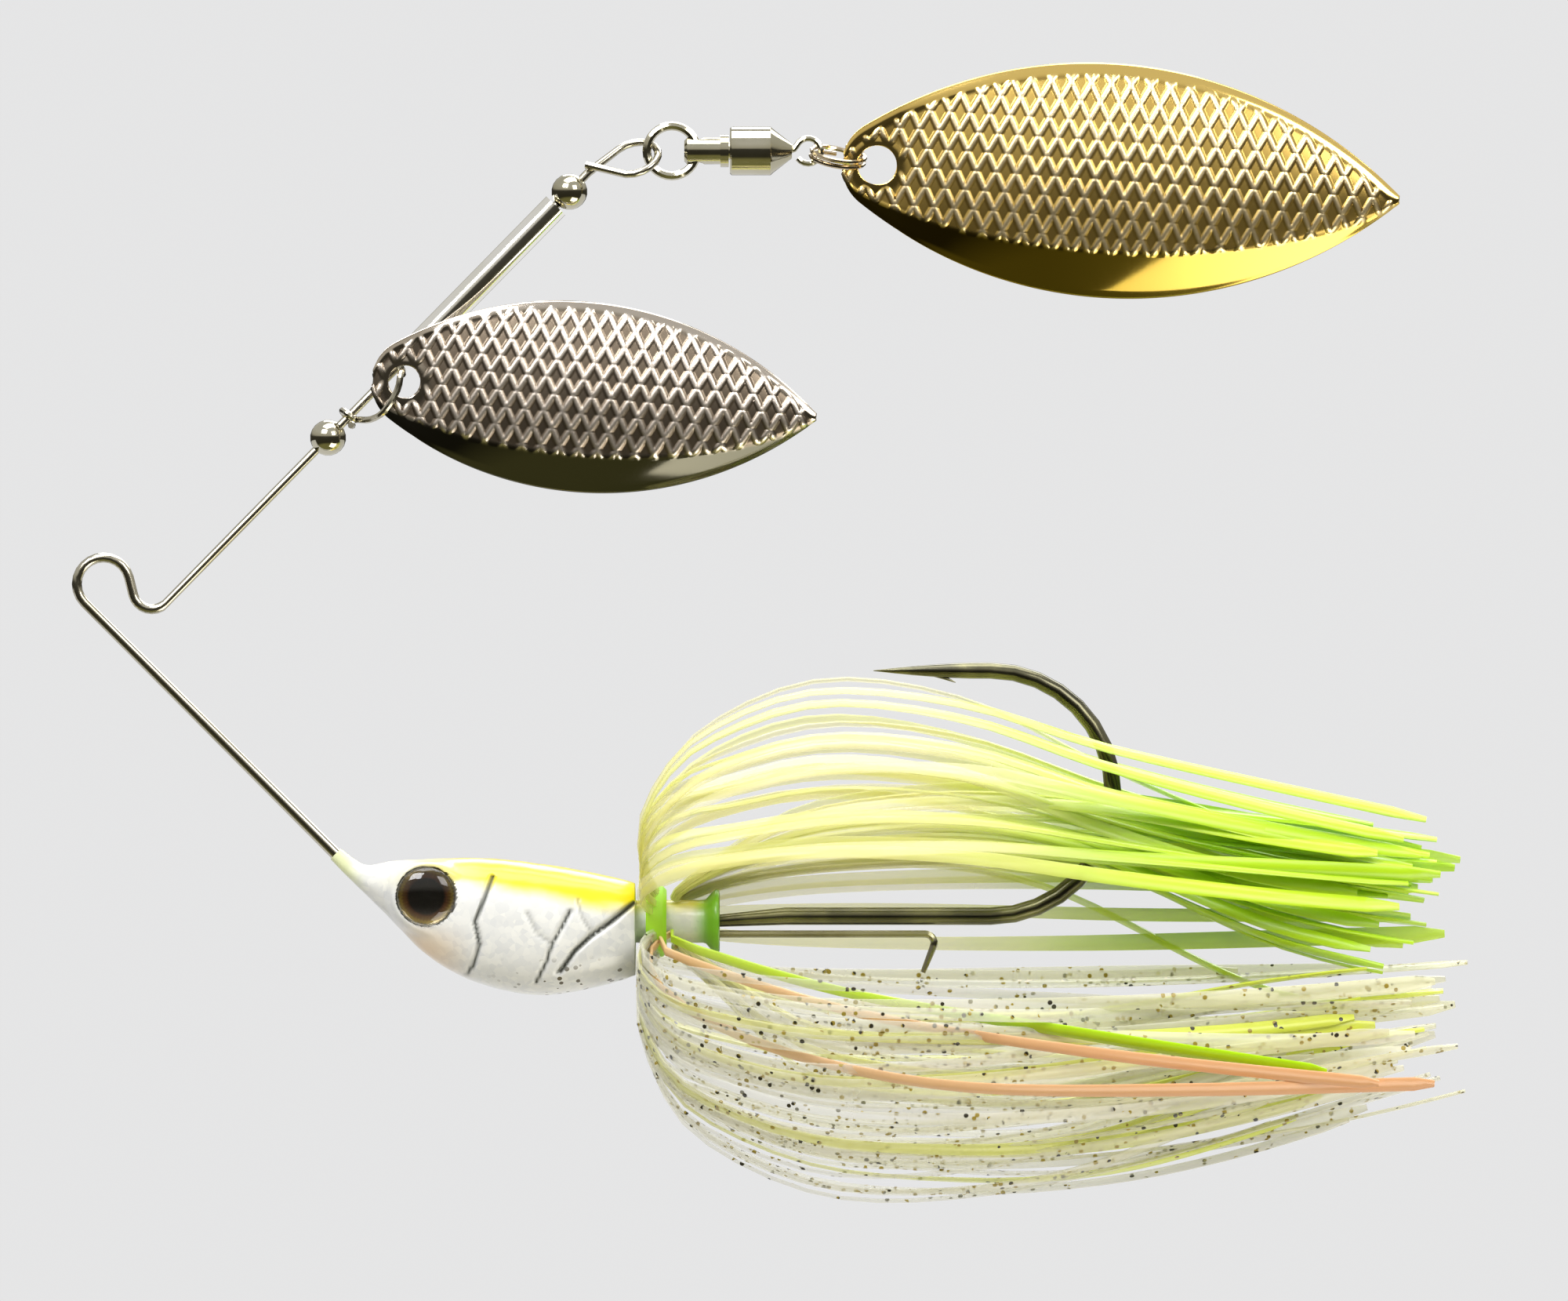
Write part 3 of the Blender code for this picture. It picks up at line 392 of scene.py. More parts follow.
def open_hole(shape, hole_radius, step):
    """Takes out the grid inside the hole and draws its edge onto the hole's circle."""
    inside = [v for v in shape.verts if math.hypot(v.co.x, v.co.z) < hole_radius * MM * 0.97]
    bmesh.ops.delete(shape, geom=inside, context="VERTS")
    for vertex in shape.verts:
        reach = math.hypot(vertex.co.x, vertex.co.z) / MM
        if vertex.is_boundary and reach < hole_radius + 2.5 * step:
            vertex.co.x *= hole_radius / reach
            vertex.co.z *= hole_radius / reach


def blade(name, node, shape_of, hole, cells, top_rim, surface, body):
    """A stamped blade: raised diamonds above a plain bevel, with a real hole and a rounded edge."""
    length, widest_half, widest_at, hole_inset, hole_radius, dip = shape_of
    step = GRID_STEP
    rows = round(length / step)
    columns = round(2 * widest_half / step)
    mesh = bpy.data.meshes.new(name)
    shape = bmesh.new()
    pattern_layer = shape.verts.layers.float.new("pattern")
    bevel_layer = shape.verts.layers.float.new("bevel")
    bmesh.ops.create_grid(shape, x_segments=rows, y_segments=columns, size=1.0)
    for vertex in shape.verts:
        part = (vertex.co.x + 1) / 2
        part = (1 - BUNCHING) * part + BUNCHING * (1 - math.cos(math.pi * part)) / 2
        share = 0.003 + 0.992 * part
        across = vertex.co.y
        half = willow_half_width(share * length, length, widest_half, widest_at)
        along = share * length - hole_inset
        side = across * half
        lattice = smooth_step(0.25, 0.7, half * (1 - across) - top_rim)
        end_share = abs(2 * share - 1.0)
        crease = -(BEVEL_START + BEVEL_RISE * end_share**3)
        lattice *= smooth_step(-0.25, 0.2, (across - crease) * half)
        lattice *= smooth_step(0.2, 0.8, math.hypot(along, side) - hole_radius)
        line = cell_distance(along, side, cells)
        ridge = 1 - smooth_step(0.0, cells[2], line)
        height = blade_surface(share, across, length) + cells[3] * lattice * (ridge - 0.35)
        edge = smooth_step(0.0, 0.5, half * (1 - abs(across)))
        height -= EDGE_DROP * (1 - edge)
        vertex.co = metres((along, -height, side))
        vertex[pattern_layer] = lattice
        vertex[bevel_layer] = 1 - smooth_step(-0.1, 0.15, (across - crease) * half)
    open_hole(shape, hole_radius, step)
    bmesh.ops.reverse_faces(shape, faces=shape.faces)
    shape.to_mesh(mesh)
    shape.free()
    mesh.shade_smooth()
    obj = link(name, mesh, surface)
    thick = obj.modifiers.new("thickness", "SOLIDIFY")
    thick.thickness = BLADE_THICKNESS * MM
    thick.offset = 0.0
    thick.use_even_offset = False
    obj.location = metres(hole)
    obj.rotation_euler = (0, math.radians(dip), 0)
    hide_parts(node)
    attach(obj, body)


def blades():
    """The two blades hang by their holes, whose centres sit off the joints' axes by a fixed step."""
    # Each blade's colours: cells (darker, painted shade), ridges (paler, painted highlight), the bevel's
    # painted dark reflection at its base and at its tip, and the plain rim.
    gold = blade_material(
        "gold_blade", (0.64, 0.44, 0.12), (1.0, 0.82, 0.50), (0.20, 0.14, 0.02), (0.58, 0.42, 0.10),
        GOLD_CELLS, (0.92, 0.66, 0.20),
    )
    nickel = blade_material(
        "nickel_blade", (0.30, 0.24, 0.18), (0.96, 0.86, 0.77), (0.12, 0.115, 0.09), (0.07, 0.07, 0.055),
        NICKEL_CELLS, (0.62, 0.55, 0.47),
    )
    rear_hole = PER_METRE * Vector(JOINTS["rear_blade_flap"]["pos_m"]) + REAR_HOLE_STEP
    front_hole = PER_METRE * Vector(JOINTS["front_blade_flap"]["pos_m"]) + FRONT_HOLE_STEP
    blade(
        "rear_blade_gold", "rear_blade", REAR_BLADE, rear_hole, GOLD_CELLS, GOLD_RIM, gold, "rear_blade",
    )
    blade(
        "front_blade_nickel", "front_blade", FRONT_BLADE, front_hole, NICKEL_CELLS, NICKEL_RIM, nickel,
        "front_blade",
    )


# ---------------------------------------------------------------- head

# Each section is (top x, top z, bottom x, bottom z, half width), as in the CAD head
HEAD_SECTIONS = [
    (16.15, -18.00, 15.45, -18.70, 0.50),
    (17.20, -18.78, 16.35, -19.63, 0.64),
    (18.04, -19.11, 17.25, -20.53, 0.98),
    (19.64, -18.84, 18.10, -21.32, 1.50),
    (21.30, -18.74, 19.11, -22.33, 2.00),
    (22.84, -18.68, 20.30, -23.56, 2.45),
    (24.97, -18.63, 21.90, -25.12, 2.85),
    (27.00, -18.72, 24.20, -26.58, 3.20),
    (29.00, -18.93, 27.11, -27.59, 3.45),
    (31.20, -19.25, 30.20, -27.95, 3.50),
    (33.60, -19.70, 33.30, -27.45, 3.30),
    (35.90, -20.25, 35.90, -26.72, 2.80),
    (36.18, -20.60, 36.18, -26.30, 2.40),
    (36.22, -21.50, 36.22, -24.40, 1.45),
]
HEAD_SQUARENESS = 0.82

STEM_RADIUS = 1.45

# The eye's socket and the rim round it
SOCKET_GAP = 0.03
SOCKET_DEPTH = 0.25
RIM_WIDTH = 0.45
RIM_HEIGHT = 0.22

# The slight unevenness of the cast head, and how often it repeats to the millimetre
UNEVENNESS = 0.03
UNEVEN_PACE = 0.9

# Grooves on each side of the head, as (x, z) points with a depth and a width
GILL_GROOVES = [
    (
        [(26.55, -19.9), (26.0, -21.4), (25.35, -22.9), (25.65, -24.4), (25.2, -25.9), (24.6, -26.7)],
        0.34, 0.22,
    ),
    ([(31.8, -22.2), (31.3, -23.2), (30.6, -24.4), (30.2, -25.6), (29.5, -27.0)], 0.30, 0.20),
    ([(36.1, -21.7), (34.6, -22.9), (33.2, -23.9), (32.1, -24.9), (31.1, -26.3)], 0.42, 0.26),
    ([(30.6, -24.4), (29.6, -23.7), (28.9, -22.3)], 0.12, 0.2),
    ([(33.4, -23.8), (32.6, -22.6), (32.3, -21.4)], 0.12, 0.2),
]


def groove_at(x, z):
    """The groove's depth at a place on the side of the head."""
    depth = 0.0
    here = Vector((x, z))
    for line, deepest, width in GILL_GROOVES:
        for start, end in zip(line, line[1:]):
            start, end = Vector(start), Vector(end)
            run = end - start
            share = min(1.0, max(0.0, (here - start).dot(run) / run.length_squared))
            away = (here - start - run * share).length
            depth = max(depth, deepest * (1 - smooth_step(0.0, width, away)))
    return depth


def pearl_paint():
    """White pearl, a yellow back, a warm throat, specks on the belly, painted shade in the grooves and a
    green stem end.
    """
    made = Nodes("pearl_paint", (0.9, 0.9, 0.88), 0.0, 0.28, Coat_Weight=0.35, Coat_Roughness=0.12)
    x, _, z = made.place()
    shimmer = made.node("ShaderNodeSeparateColor")
    made.feed(shimmer.inputs[0], made.cells(2400.0, output="Color"))
    pearl = made.mix(shimmer.outputs[0], (0.86, 0.86, 0.83), (0.74, 0.75, 0.75))
    soft = made.noise(260.0, 3.0)
    top_line = made.plus(z, made.times(soft, 0.9))
    back_low = made.minus(-19.9, made.times(made.span(x, 26.0, 35.0), 1.5))
    back = made.times(made.span(made.minus(top_line, back_low), -0.75, 0.45), made.span(x, 17.5, 27.0))
    painted = made.mix(back, pearl, (0.82, 0.70, 0.0))
    spine = made.times(made.span(top_line, -19.5, -18.4), made.span(x, 20.0, 27.0))
    painted = made.mix(made.times(spine, 0.5), painted, (0.80, 0.58, 0.05))
    throat = made.times(made.span(x, 25.6, 21.2), made.span(z, -22.6, -25.2))
    painted = made.mix(made.times(throat, 0.7), painted, (0.92, 0.60, 0.28))
    nose = made.span(x, 18.2, 16.2)
    painted = made.mix(made.times(nose, 0.75), painted, (0.80, 0.86, 0.42))
    fleck = made.math("LESS_THAN", made.cells(1500.0), 0.26)
    keep = made.math("GREATER_THAN", made.noise(900.0, 0.0), 0.48)
    belly = made.times(made.span(z, -25.0, -26.6), made.span(x, 25.0, 31.0))
    speck = made.times(made.times(fleck, keep), belly)
    painted = made.mix(speck, painted, (0.12, 0.10, 0.06))
    # Painted shade: the grooves are darkened by their depth.
    painted = made.mix(made.times(made.attribute("groove"), 0.9), painted, (0.16, 0.17, 0.15))
    stem_green = made.span(x, 39.8, 41.3)
    painted = made.mix(stem_green, painted, (0.20, 0.50, 0.03))
    made.colour(painted)
    made.bump(soft, 0.15, 0.05)
    return made.material


def squared_off(part):
    """A cosine or a sine, bent towards a square for the head's section."""
    return math.copysign(abs(part) ** HEAD_SQUARENESS, part)


def eye_relief(place, facing):
    """The place's y once the eye's socket is sunk and the rim round it is raised."""
    away = math.hypot(place.x - EYE_CENTRE.x, place.z - EYE_CENTRE.z)
    socket_edge = EYE_RADIUS + SOCKET_GAP
    rim_edge = EYE_RADIUS + RIM_WIDTH
    out = abs(place.y)
    if away < socket_edge:
        out = min(out, abs(EYE_CENTRE.y) - SOCKET_DEPTH)
    elif away < rim_edge + 0.5:
        lift = 1 - smooth_step(socket_edge + 0.12, rim_edge + RIM_WIDTH, away)
        raised = max(out, abs(EYE_CENTRE.y) + RIM_HEIGHT)
        out += (raised - out) * lift * facing
    return math.copysign(out, place.y)


def head_points(count, steps):
    """Rings of points from the nose back, and each point's share of a groove's full depth."""
    last = len(HEAD_SECTIONS) - 1
    rows = [(index / last, *section) for index, section in enumerate(HEAD_SECTIONS)]
    full_groove = 0.25
    points, grooves = [], []
    for step in range(steps + 1):
        top_x, top_z, low_x, low_z, half = between(rows, step / steps)
        for index in range(count):
            angle = 2 * math.pi * index / count
            up = squared_off(math.cos(angle))
            out = squared_off(math.sin(angle))
            place = Vector((
                (top_x + low_x) / 2 + (top_x - low_x) / 2 * up,
                half * out,
                (top_z + low_z) / 2 + (top_z - low_z) / 2 * up,
            ))
            cut = groove_at(place.x, place.z) * smooth_step(0.2, 0.7, abs(out))
            facing = smooth_step(0.3, 0.6, abs(out))
            if facing > 0:
                place.y = eye_relief(place, facing)
            if cut:
                place.y -= math.copysign(cut, place.y)
            place.z += UNEVENNESS * noise.noise(place * UNEVEN_PACE)
            points.append(place)
            grooves.append(min(1.0, cut / full_groove))
    return points, grooves


def stem_points(count):
    """Rings of points along the stem, from the head's back to the inside of the flared end."""
    flare_start = STEM_END - 0.93
    profile = [
        (36.3, STEM_RADIUS), (38.0, STEM_RADIUS), (flare_start - 0.2, STEM_RADIUS),
        (flare_start, STEM_RADIUS + 0.06), (STEM_END - 0.55, 1.95), (STEM_END - 0.25, 2.18),
        (STEM_END - 0.06, 2.14), (STEM_END, 1.95), (STEM_END, 1.1),
    ]
    points = []
    for x, radius in profile:
        for index in range(count):
            angle = 2 * math.pi * index / count
            points.append(Vector((x, radius * math.sin(angle), STEM_LEVEL + radius * math.cos(angle))))
    return points


def head():
    """A lofted minnow head with cut gill lines, a raised eye rim, and the stem with its flared end."""
    count, steps_per_section = ((176, 15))
    steps = (len(HEAD_SECTIONS) - 1) * steps_per_section
    points, grooves = head_points(count, steps)
    stem = stem_points(count)
    points += stem
    grooves += [0.0] * len(stem)
    rings = len(points) // count
    faces = ring_faces(rings, count, flipped=True)
    faces.append(tuple(range(count)))
    faces.append(tuple(reversed(range((rings - 1) * count, rings * count))))
    obj = mesh_object("head_painted", points, faces, pearl_paint(), 55)
    layer = obj.data.attributes.new("groove", "FLOAT", "POINT")
    layer.data.foreach_set("value", grooves)
    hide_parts("head")
    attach(obj, "lure")


def eye_foil_material():
    """A black pupil, a warm olive-gold iris with fine rays, and a dark outer ring."""
    made = Nodes("eye_foil", (0.3, 0.22, 0.05), 0.55, 0.28)
    x, _, z = made.place()
    across = made.minus(x, EYE_CENTRE.x)
    up = made.minus(z, EYE_CENTRE.z)
    squares = made.plus(made.times(across, across), made.times(up, up))
    away = made.math("DIVIDE", made.math("SQRT", squares), EYE_RADIUS)
    turn = made.math("ARCTAN2", up, across)
    rays, ray_size = 46.0, 0.018
    ray = made.times(made.math("SINE", made.times(turn, rays)), ray_size)
    iris = made.ramp(made.plus(away, ray), [
        (0.0, (0.005, 0.004, 0.003)), (0.56, (0.008, 0.005, 0.003)), (0.64, (0.10, 0.035, 0.008)),
        (0.74, (0.16, 0.08, 0.015)), (0.83, (0.32, 0.22, 0.035)), (0.91, (0.08, 0.065, 0.015)),
        (1.0, (0.03, 0.03, 0.015)),
    ])
    made.colour(iris)
    made.bump(ray, 0.3, 0.3)
    return made.material


def clear_resin():
    """The glassy dome over each eye."""
    made = Nodes(
        "clear_dome", (0.98, 0.97, 0.93), 0.0, 0.02, IOR=1.45, Transmission_Weight=1.0, Coat_Weight=0.4,
    )
    made.rough(made.times(made.noise(400.0), 0.05))
    return made.material


def eye_lens(name, side, surface):
    """A smooth dome on a short straight rim, closed at its flat base."""
    low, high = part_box(f"eye_dome_{name}")
    base = PER_METRE * min(abs(low.y), abs(high.y))
    top = PER_METRE * max(abs(low.y), abs(high.y))
    rim = 0.12
    rings, around = 14, 64
    points = [(EYE_CENTRE.x, side * top, EYE_CENTRE.z)]
    for ring in range(1, rings + 2):
        angle = math.pi / 2 * min(1.0, ring / rings)
        radius = EYE_RADIUS * math.sin(angle)
        height = base + rim + (top - base - rim) * math.cos(angle) if ring <= rings else base
        for index in range(around):
            turn = side * 2 * math.pi * index / around
            points.append((
                EYE_CENTRE.x + radius * math.cos(turn), side * height, EYE_CENTRE.z + radius * math.sin(turn),
            ))
    faces = [(0, 1 + (index + 1) % around, 1 + index) for index in range(around)]
    faces += ring_faces(rings + 1, around, 1)
    faces.append(tuple(range(1 + rings * around, 1 + (rings + 1) * around)))
    dome = mesh_object(f"eye_lens_{name}", points, faces, surface, 50)
    shape = bmesh.new()
    shape.from_mesh(dome.data)
    bmesh.ops.recalc_face_normals(shape, faces=shape.faces)
    shape.to_mesh(dome.data)
    shape.free()
    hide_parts(f"eye_dome_{name}")
    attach(dome, "lure")


def eyes():
    """A foil disc under a clear dome on each side."""
    foil = eye_foil_material()
    clear = clear_resin()
    dress(foil, "eye_foil_left", "eye_foil_right")
    eye_lens("left", -1, clear)
    eye_lens("right", 1, clear)


# ---------------------------------------------------------------- skirt

SKIRT_SEED = 11

# How much flatter than round the skirt is
SIDE_SQUEEZE = 0.84

STRAND_ROOT = 1.75
STRAND_THICKNESS = 0.22
STRAND_STEPS = 26

# How a strand strays: its wave's size, its drift round the stem in degrees and its twist in radians
STRAND_WAVE = 0.55
STRAND_DRIFT = 16
STRAND_TWIST = 1.1

# A strand's course, as (share of its length, x, distance from the stem's axis)
UPPER_COURSE = [
    (0.0, 37.9, STRAND_ROOT), (0.05, 36.75, 4.2), (0.13, 37.2, 8.6), (0.24, 40.9, 13.9), (0.38, 48.6, 17.3),
    (0.53, 58.6, 16.2), (0.68, 68.7, 12.2), (0.84, 79.8, 8.7), (1.0, 90.6, 5.9),
]
LOWER_COURSE = [
    (0.0, 37.9, STRAND_ROOT), (0.05, 36.75, 4.4), (0.13, 37.0, 9.2), (0.24, 40.2, 14.6), (0.38, 48.4, 18.6),
    (0.53, 58.5, 19.2), (0.68, 69.0, 18.0), (0.84, 79.5, 15.6), (1.0, 89.0, 12.6),
]
INNER_COURSE = [
    (0.0, 38.9, STRAND_ROOT), (0.06, 39.6, 2.7), (0.15, 42.6, 4.3), (0.28, 48.0, 5.8), (0.42, 56.0, 6.6),
    (0.56, 64.5, 6.6), (0.70, 73.0, 6.0), (0.85, 82.5, 5.0), (1.0, 92.0, 4.0),
]
PEACH_OUTER_COURSE = [
    (0.0, 37.9, STRAND_ROOT), (0.06, 36.9, 5.0), (0.14, 39.0, 10.2), (0.26, 46.3, 16.2), (0.45, 58.0, 20.4),
    (0.70, 74.0, 21.2), (1.0, 90.0, 20.8),
]
PEACH_INNER_COURSE = [
    (0.0, 38.9, STRAND_ROOT), (0.08, 38.9, 4.8), (0.28, 51.6, 13.6), (0.60, 68.0, 19.4), (1.0, 87.0, 23.4),
]
GREEN_COURSE = [
    (0.0, 38.9, STRAND_ROOT), (0.06, 40.2, 4.2), (0.28, 51.6, 11.8), (0.60, 68.0, 18.0), (1.0, 84.0, 23.0),
]


def silicone(name, root, tip, alpha_root, alpha_tip, change, flakes=False):
    """A clear silicone strip, whose dye deepens along x between the two places of change."""
    made = Nodes(name, tip, 0.0, 0.32, Specular_IOR_Level=0.6, Coat_Weight=0.25, Coat_Roughness=0.2)
    x = made.place()[0]
    drift = made.plus(x, made.times(made.minus(made.noise(90.0, 2.0), 0.5), 9.0))
    share = made.span(drift, *change)
    body = made.mix(share, root, tip)
    streak = made.noise(700.0, 2.0)
    body = made.mix(made.times(streak, 0.25), body, tuple(0.82 * c for c in tip))
    opacity = made.plus(made.times(share, alpha_tip - alpha_root), alpha_root)
    if flakes:
        keep = made.math("GREATER_THAN", made.noise(560.0, 1.0), 0.47)
        flake = made.times(made.math("LESS_THAN", made.cells(1400.0), 0.23), keep)
        golden = made.math("GREATER_THAN", made.noise(1200.0, 0.0), 0.45)
        body = made.mix(flake, body, made.mix(golden, (0.03, 0.025, 0.012), (0.36, 0.27, 0.04)))
        opacity = made.math("MAXIMUM", opacity, flake)
    made.colour(body)
    made.alpha(opacity)
    made.bump(streak, 0.12, 0.06)
    return made.material


def strand_mesh(points, widths, start_side, twist):
    """A flat strip with rounded edges along the points, turning as it goes."""
    section = ((1.0, 0.0), (0.82, 0.5), (-0.82, 0.5), (-1.0, 0.0), (-0.82, -0.5), (0.82, -0.5))
    verts = []
    side = start_side.normalized()
    last = len(points) - 1
    for index, point in enumerate(points):
        along = (points[min(last, index + 1)] - points[max(0, index - 1)]).normalized()
        side = (side - along * side.dot(along)).normalized()
        turn = twist * index / last
        turned = side * math.cos(turn) + along.cross(side) * math.sin(turn)
        flat = along.cross(turned)
        for across, through in section:
            verts.append(point + turned * across * widths[index] / 2 + flat * through * STRAND_THICKNESS)
    count = len(section)
    faces = ring_faces(len(points), count)
    faces.append(tuple(reversed(range(count))))
    faces.append(tuple(range(last * count, (last + 1) * count)))
    return verts, faces


def strand(name, draw, course, reach, azimuth, spread, lift, tip_shift, surface, width=1.0, stray=1.0):
    """One strip of the skirt. azimuth is its angle round the stem from straight up, in degrees.

    reach scales its distance from the stem, spread draws its tail in sideways, lift raises its tail,
    tip_shift moves its tip along x, and stray scales its random wave, drift and twist.
    """
    sway = stray * draw.uniform(-1, 1), stray * draw.uniform(-1, 1), draw.uniform(0, 6.28)
    root_x = draw.uniform(-0.25, 0.25)
    twist = stray * draw.uniform(-STRAND_TWIST, STRAND_TWIST)
    width *= draw.uniform(0.9, 1.3)
    length_share = draw.uniform(0.95, 1.0)
    drift = math.radians(stray * draw.uniform(-STRAND_DRIFT, STRAND_DRIFT))
    points, widths = [], []
    for step in range(STRAND_STEPS + 1):
        share = step / STRAND_STEPS * length_share
        x, away = between(course, share)
        grow = smooth_step(0.0, 0.3, share)
        angle = math.radians(azimuth) + drift * smooth_step(0.3, 1.0, share)
        away = STRAND_ROOT + (away - STRAND_ROOT) * (1 + (reach - 1) * grow)
        narrow = 1 - spread * smooth_step(0.35, 1.0, share)
        height = away * math.cos(angle) + lift * smooth_step(0.4, 1.0, share)
        side = away * math.sin(angle) * narrow * SIDE_SQUEEZE
        wave = smooth_step(0.25, 1.0, share)
        height += STRAND_WAVE * wave * sway[0] * math.sin(5.0 * share + sway[2])
        side += STRAND_WAVE * wave * sway[1] * math.sin(4.2 * share + 1.3 * sway[2])
        x += root_x + tip_shift * smooth_step(0.5, 1.0, share)
        points.append(Vector((x, side, STEM_LEVEL + height)))
        spread_out = 0.5 + 0.25 * smooth_step(0.0, 0.12, share) + 0.25 * smooth_step(0.3, 0.8, share)
        widths.append(width * spread_out * (0.45 if step == STRAND_STEPS else 1.0))
    angle = math.radians(azimuth)
    start_side = Vector((0, math.cos(angle), -math.sin(angle)))
    verts, faces = strand_mesh(points, widths, start_side, twist)
    obj = mesh_object(name, verts, faces, surface, 60)
    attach(obj, "lure")
    return obj


def put(waiting):
    """The strand stands for the next CAD strand, while any wait."""
    if waiting:
        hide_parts(waiting.pop(0))


def inner_strands(
    label, count, draw, surfaces, reach, azimuth, lift, tip_shift, sides=(1, -1), base=0, width=1.0,
):
    """Strands close to the hook. reach, azimuth, lift and tip_shift are each the bounds of a random value.

    The azimuth is counted from base, and its sign goes through sides in turn.
    """
    made = []
    for index in range(count):
        made.append(strand(
            f"strand_{label}_{index + 1:02d}", draw, INNER_COURSE, draw.uniform(*reach),
            base + sides[index % 2] * draw.uniform(*azimuth), 0.1, draw.uniform(*lift),
            draw.uniform(*tip_shift), surfaces[index % len(surfaces)], width,
        ))
    return made


def skirt():
    """Upper strips are yellow to chartreuse, lower ones are pearl with flakes and a few bright accents."""
    draw = random.Random(SKIRT_SEED)
    chartreuse = silicone(
        "silicone_chartreuse", (0.96, 0.93, 0.32), (0.60, 0.91, 0.02), 0.34, 0.78, (54, 74),
    )
    lemon = silicone("silicone_lemon", (0.98, 0.91, 0.36), (0.68, 0.93, 0.03), 0.34, 0.72, (52, 76))
    cream = silicone("silicone_cream", (0.98, 0.89, 0.50), (0.64, 0.92, 0.03), 0.28, 0.70, (56, 76))
    pearl = silicone("silicone_pearl", (0.93, 0.92, 0.80), (0.91, 0.89, 0.72), 0.27, 0.44, (45, 85), True)
    smoke = silicone(
        "silicone_pearl_gold", (0.92, 0.90, 0.70), (0.88, 0.86, 0.56), 0.27, 0.44, (45, 85), True,
    )
    yellow = silicone(
        "silicone_yellow_flake", (0.93, 0.92, 0.40), (0.84, 0.92, 0.10), 0.5, 0.74, (45, 80), True,
    )
    peach = silicone("silicone_peach", (0.96, 0.66, 0.36), (0.95, 0.50, 0.24), 0.8, 0.94, (40, 80))
    green = silicone("silicone_green", (0.66, 0.92, 0.06), (0.52, 0.90, 0.0), 0.8, 0.94, (40, 80))

    upper_nodes = sorted(n for n in NODES if n.startswith("skirt_strand_upper"))
    lower_nodes = sorted(n for n in NODES if n.startswith("skirt_strand_lower"))
    side_nodes = sorted(n for n in NODES if n.startswith("skirt_strand_side"))

    upper_count = 30
    for index in range(upper_count):
        side = -1 if index % 2 else 1
        part = (index // 2 + draw.random()) / (upper_count / 2)
        surface = (chartreuse, cream, lemon)[index // 2 % 3]
        reach = 1.0 - 0.42 * draw.random() ** 1.6
        obj = strand(
            f"strand_upper_{index + 1:02d}", draw, UPPER_COURSE, reach, side * (5 + 70 * part), 0.35,
            draw.uniform(-2.6, 1.2), draw.uniform(-6.0, 2.6), surface,
        )
        put(upper_nodes)
    for obj in inner_strands(
        "upper_inner", 14, draw, (cream, chartreuse, lemon),
        reach=(0.75, 1.75), azimuth=(8, 56), lift=(-2.0, 1.2), tip_shift=(-6.0, 0.0),
    ):
        put(side_nodes)
    inner_strands(
        "upper_low", 6, draw, (cream, lemon),
        reach=(0.7, 1.2), azimuth=(48, 84), lift=(-1.0, 1.0), tip_shift=(-6.0, 0.0), sides=(1, 1),
    )
    inner_strands(
        "upper_crossing", 8, draw, (lemon, chartreuse),
        reach=(1.0, 1.9), azimuth=(20, 62), lift=(-8.5, -3.5), tip_shift=(-6.0, -1.0), width=0.8,
    )

    lower_count = 64
    for index in range(lower_count):
        side = -1 if index % 2 else 1
        part = (index // 2 + draw.random()) / (lower_count / 2)
        surface = (pearl, smoke, pearl, pearl, smoke, pearl, yellow)[index // 2 % 7]
        reach = 1.0 - 0.34 * draw.random() ** 1.5
        obj = strand(
            f"strand_lower_{index + 1:02d}", draw, LOWER_COURSE, reach, 180 - side * (4 + 72 * part), 0.35,
            draw.uniform(-1.2, 3.4) * (1 - part) - 2.0 * part, draw.uniform(-12.0, 4.4), surface, 0.9,
        )
        put(lower_nodes)
    inner_strands(
        "lower_inner", 20, draw, (smoke, yellow, pearl, pearl),
        reach=(0.85, 2.3), azimuth=(8, 50), lift=(-1.4, 0.6), tip_shift=(-7.0, 1.5), sides=(-1, 1), base=180,
        width=0.9,
    )

    accents = [
        ("peach_1", peach, PEACH_OUTER_COURSE, 238), ("peach_2", peach, PEACH_INNER_COURSE, 244),
        ("green_1", green, GREEN_COURSE, 246), ("yellow_1", lemon, INNER_COURSE, 104),
    ]
    for label, surface, course, azimuth in accents:
        strand(f"strand_{label}", draw, course, 1.0, azimuth, 0.35, 0.0, 0.0, surface, stray=0.15)


# ---------------------------------------------------------------- small parts

def rubber():
    """The green skirt band."""
    made = Nodes("band_rubber", (0.32, 0.72, 0.02), 0.0, 0.45, Subsurface_Weight=0.1, Subsurface_Scale=0.001)
    cloud = made.noise(500.0, 3.0)
    made.colour(made.mix(cloud, (0.22, 0.62, 0.01), (0.52, 0.86, 0.05)))
    made.bump(made.noise(1600.0, 3.0), 0.25, 0.05)
    return made.material


def small_parts():
    """Materials for the CAD pieces that show as they are."""
    nickel = plated("bright_nickel", (0.56, 0.53, 0.42), (0.45, 0.42, 0.30), 0.10)
    silver = plated("polished_sleeve", (0.92, 0.90, 0.85), (0.84, 0.82, 0.74), 0.10)
    steel = plated("drawn_wire", (0.52, 0.49, 0.40), (0.38, 0.35, 0.26), 0.2, 0.14)
    dull = plated("keeper_wire", (0.36, 0.34, 0.24), (0.24, 0.22, 0.14), 0.26, 0.12)
    dress(nickel, "lower_bead", "upper_bead", "swivel_barrel", "swivel_post", "swivel_ring", "swivel_eye")
    dress(nickel, *(f"bearing_ball_{index}" for index in range(1, 7)))
    dress(silver, "spacer_sleeve")
    dress(steel, "wire_form", "front_clevis")
    dress(plated("ring_wire", (0.60, 0.50, 0.36), (0.42, 0.34, 0.22), 0.16), "split_ring")
    dress(dull, "trailer_keeper")
    dress(black_nickel(), "hook")
    dress(rubber(), "skirt_band")


# ---------------------------------------------------------------- stage, light and camera

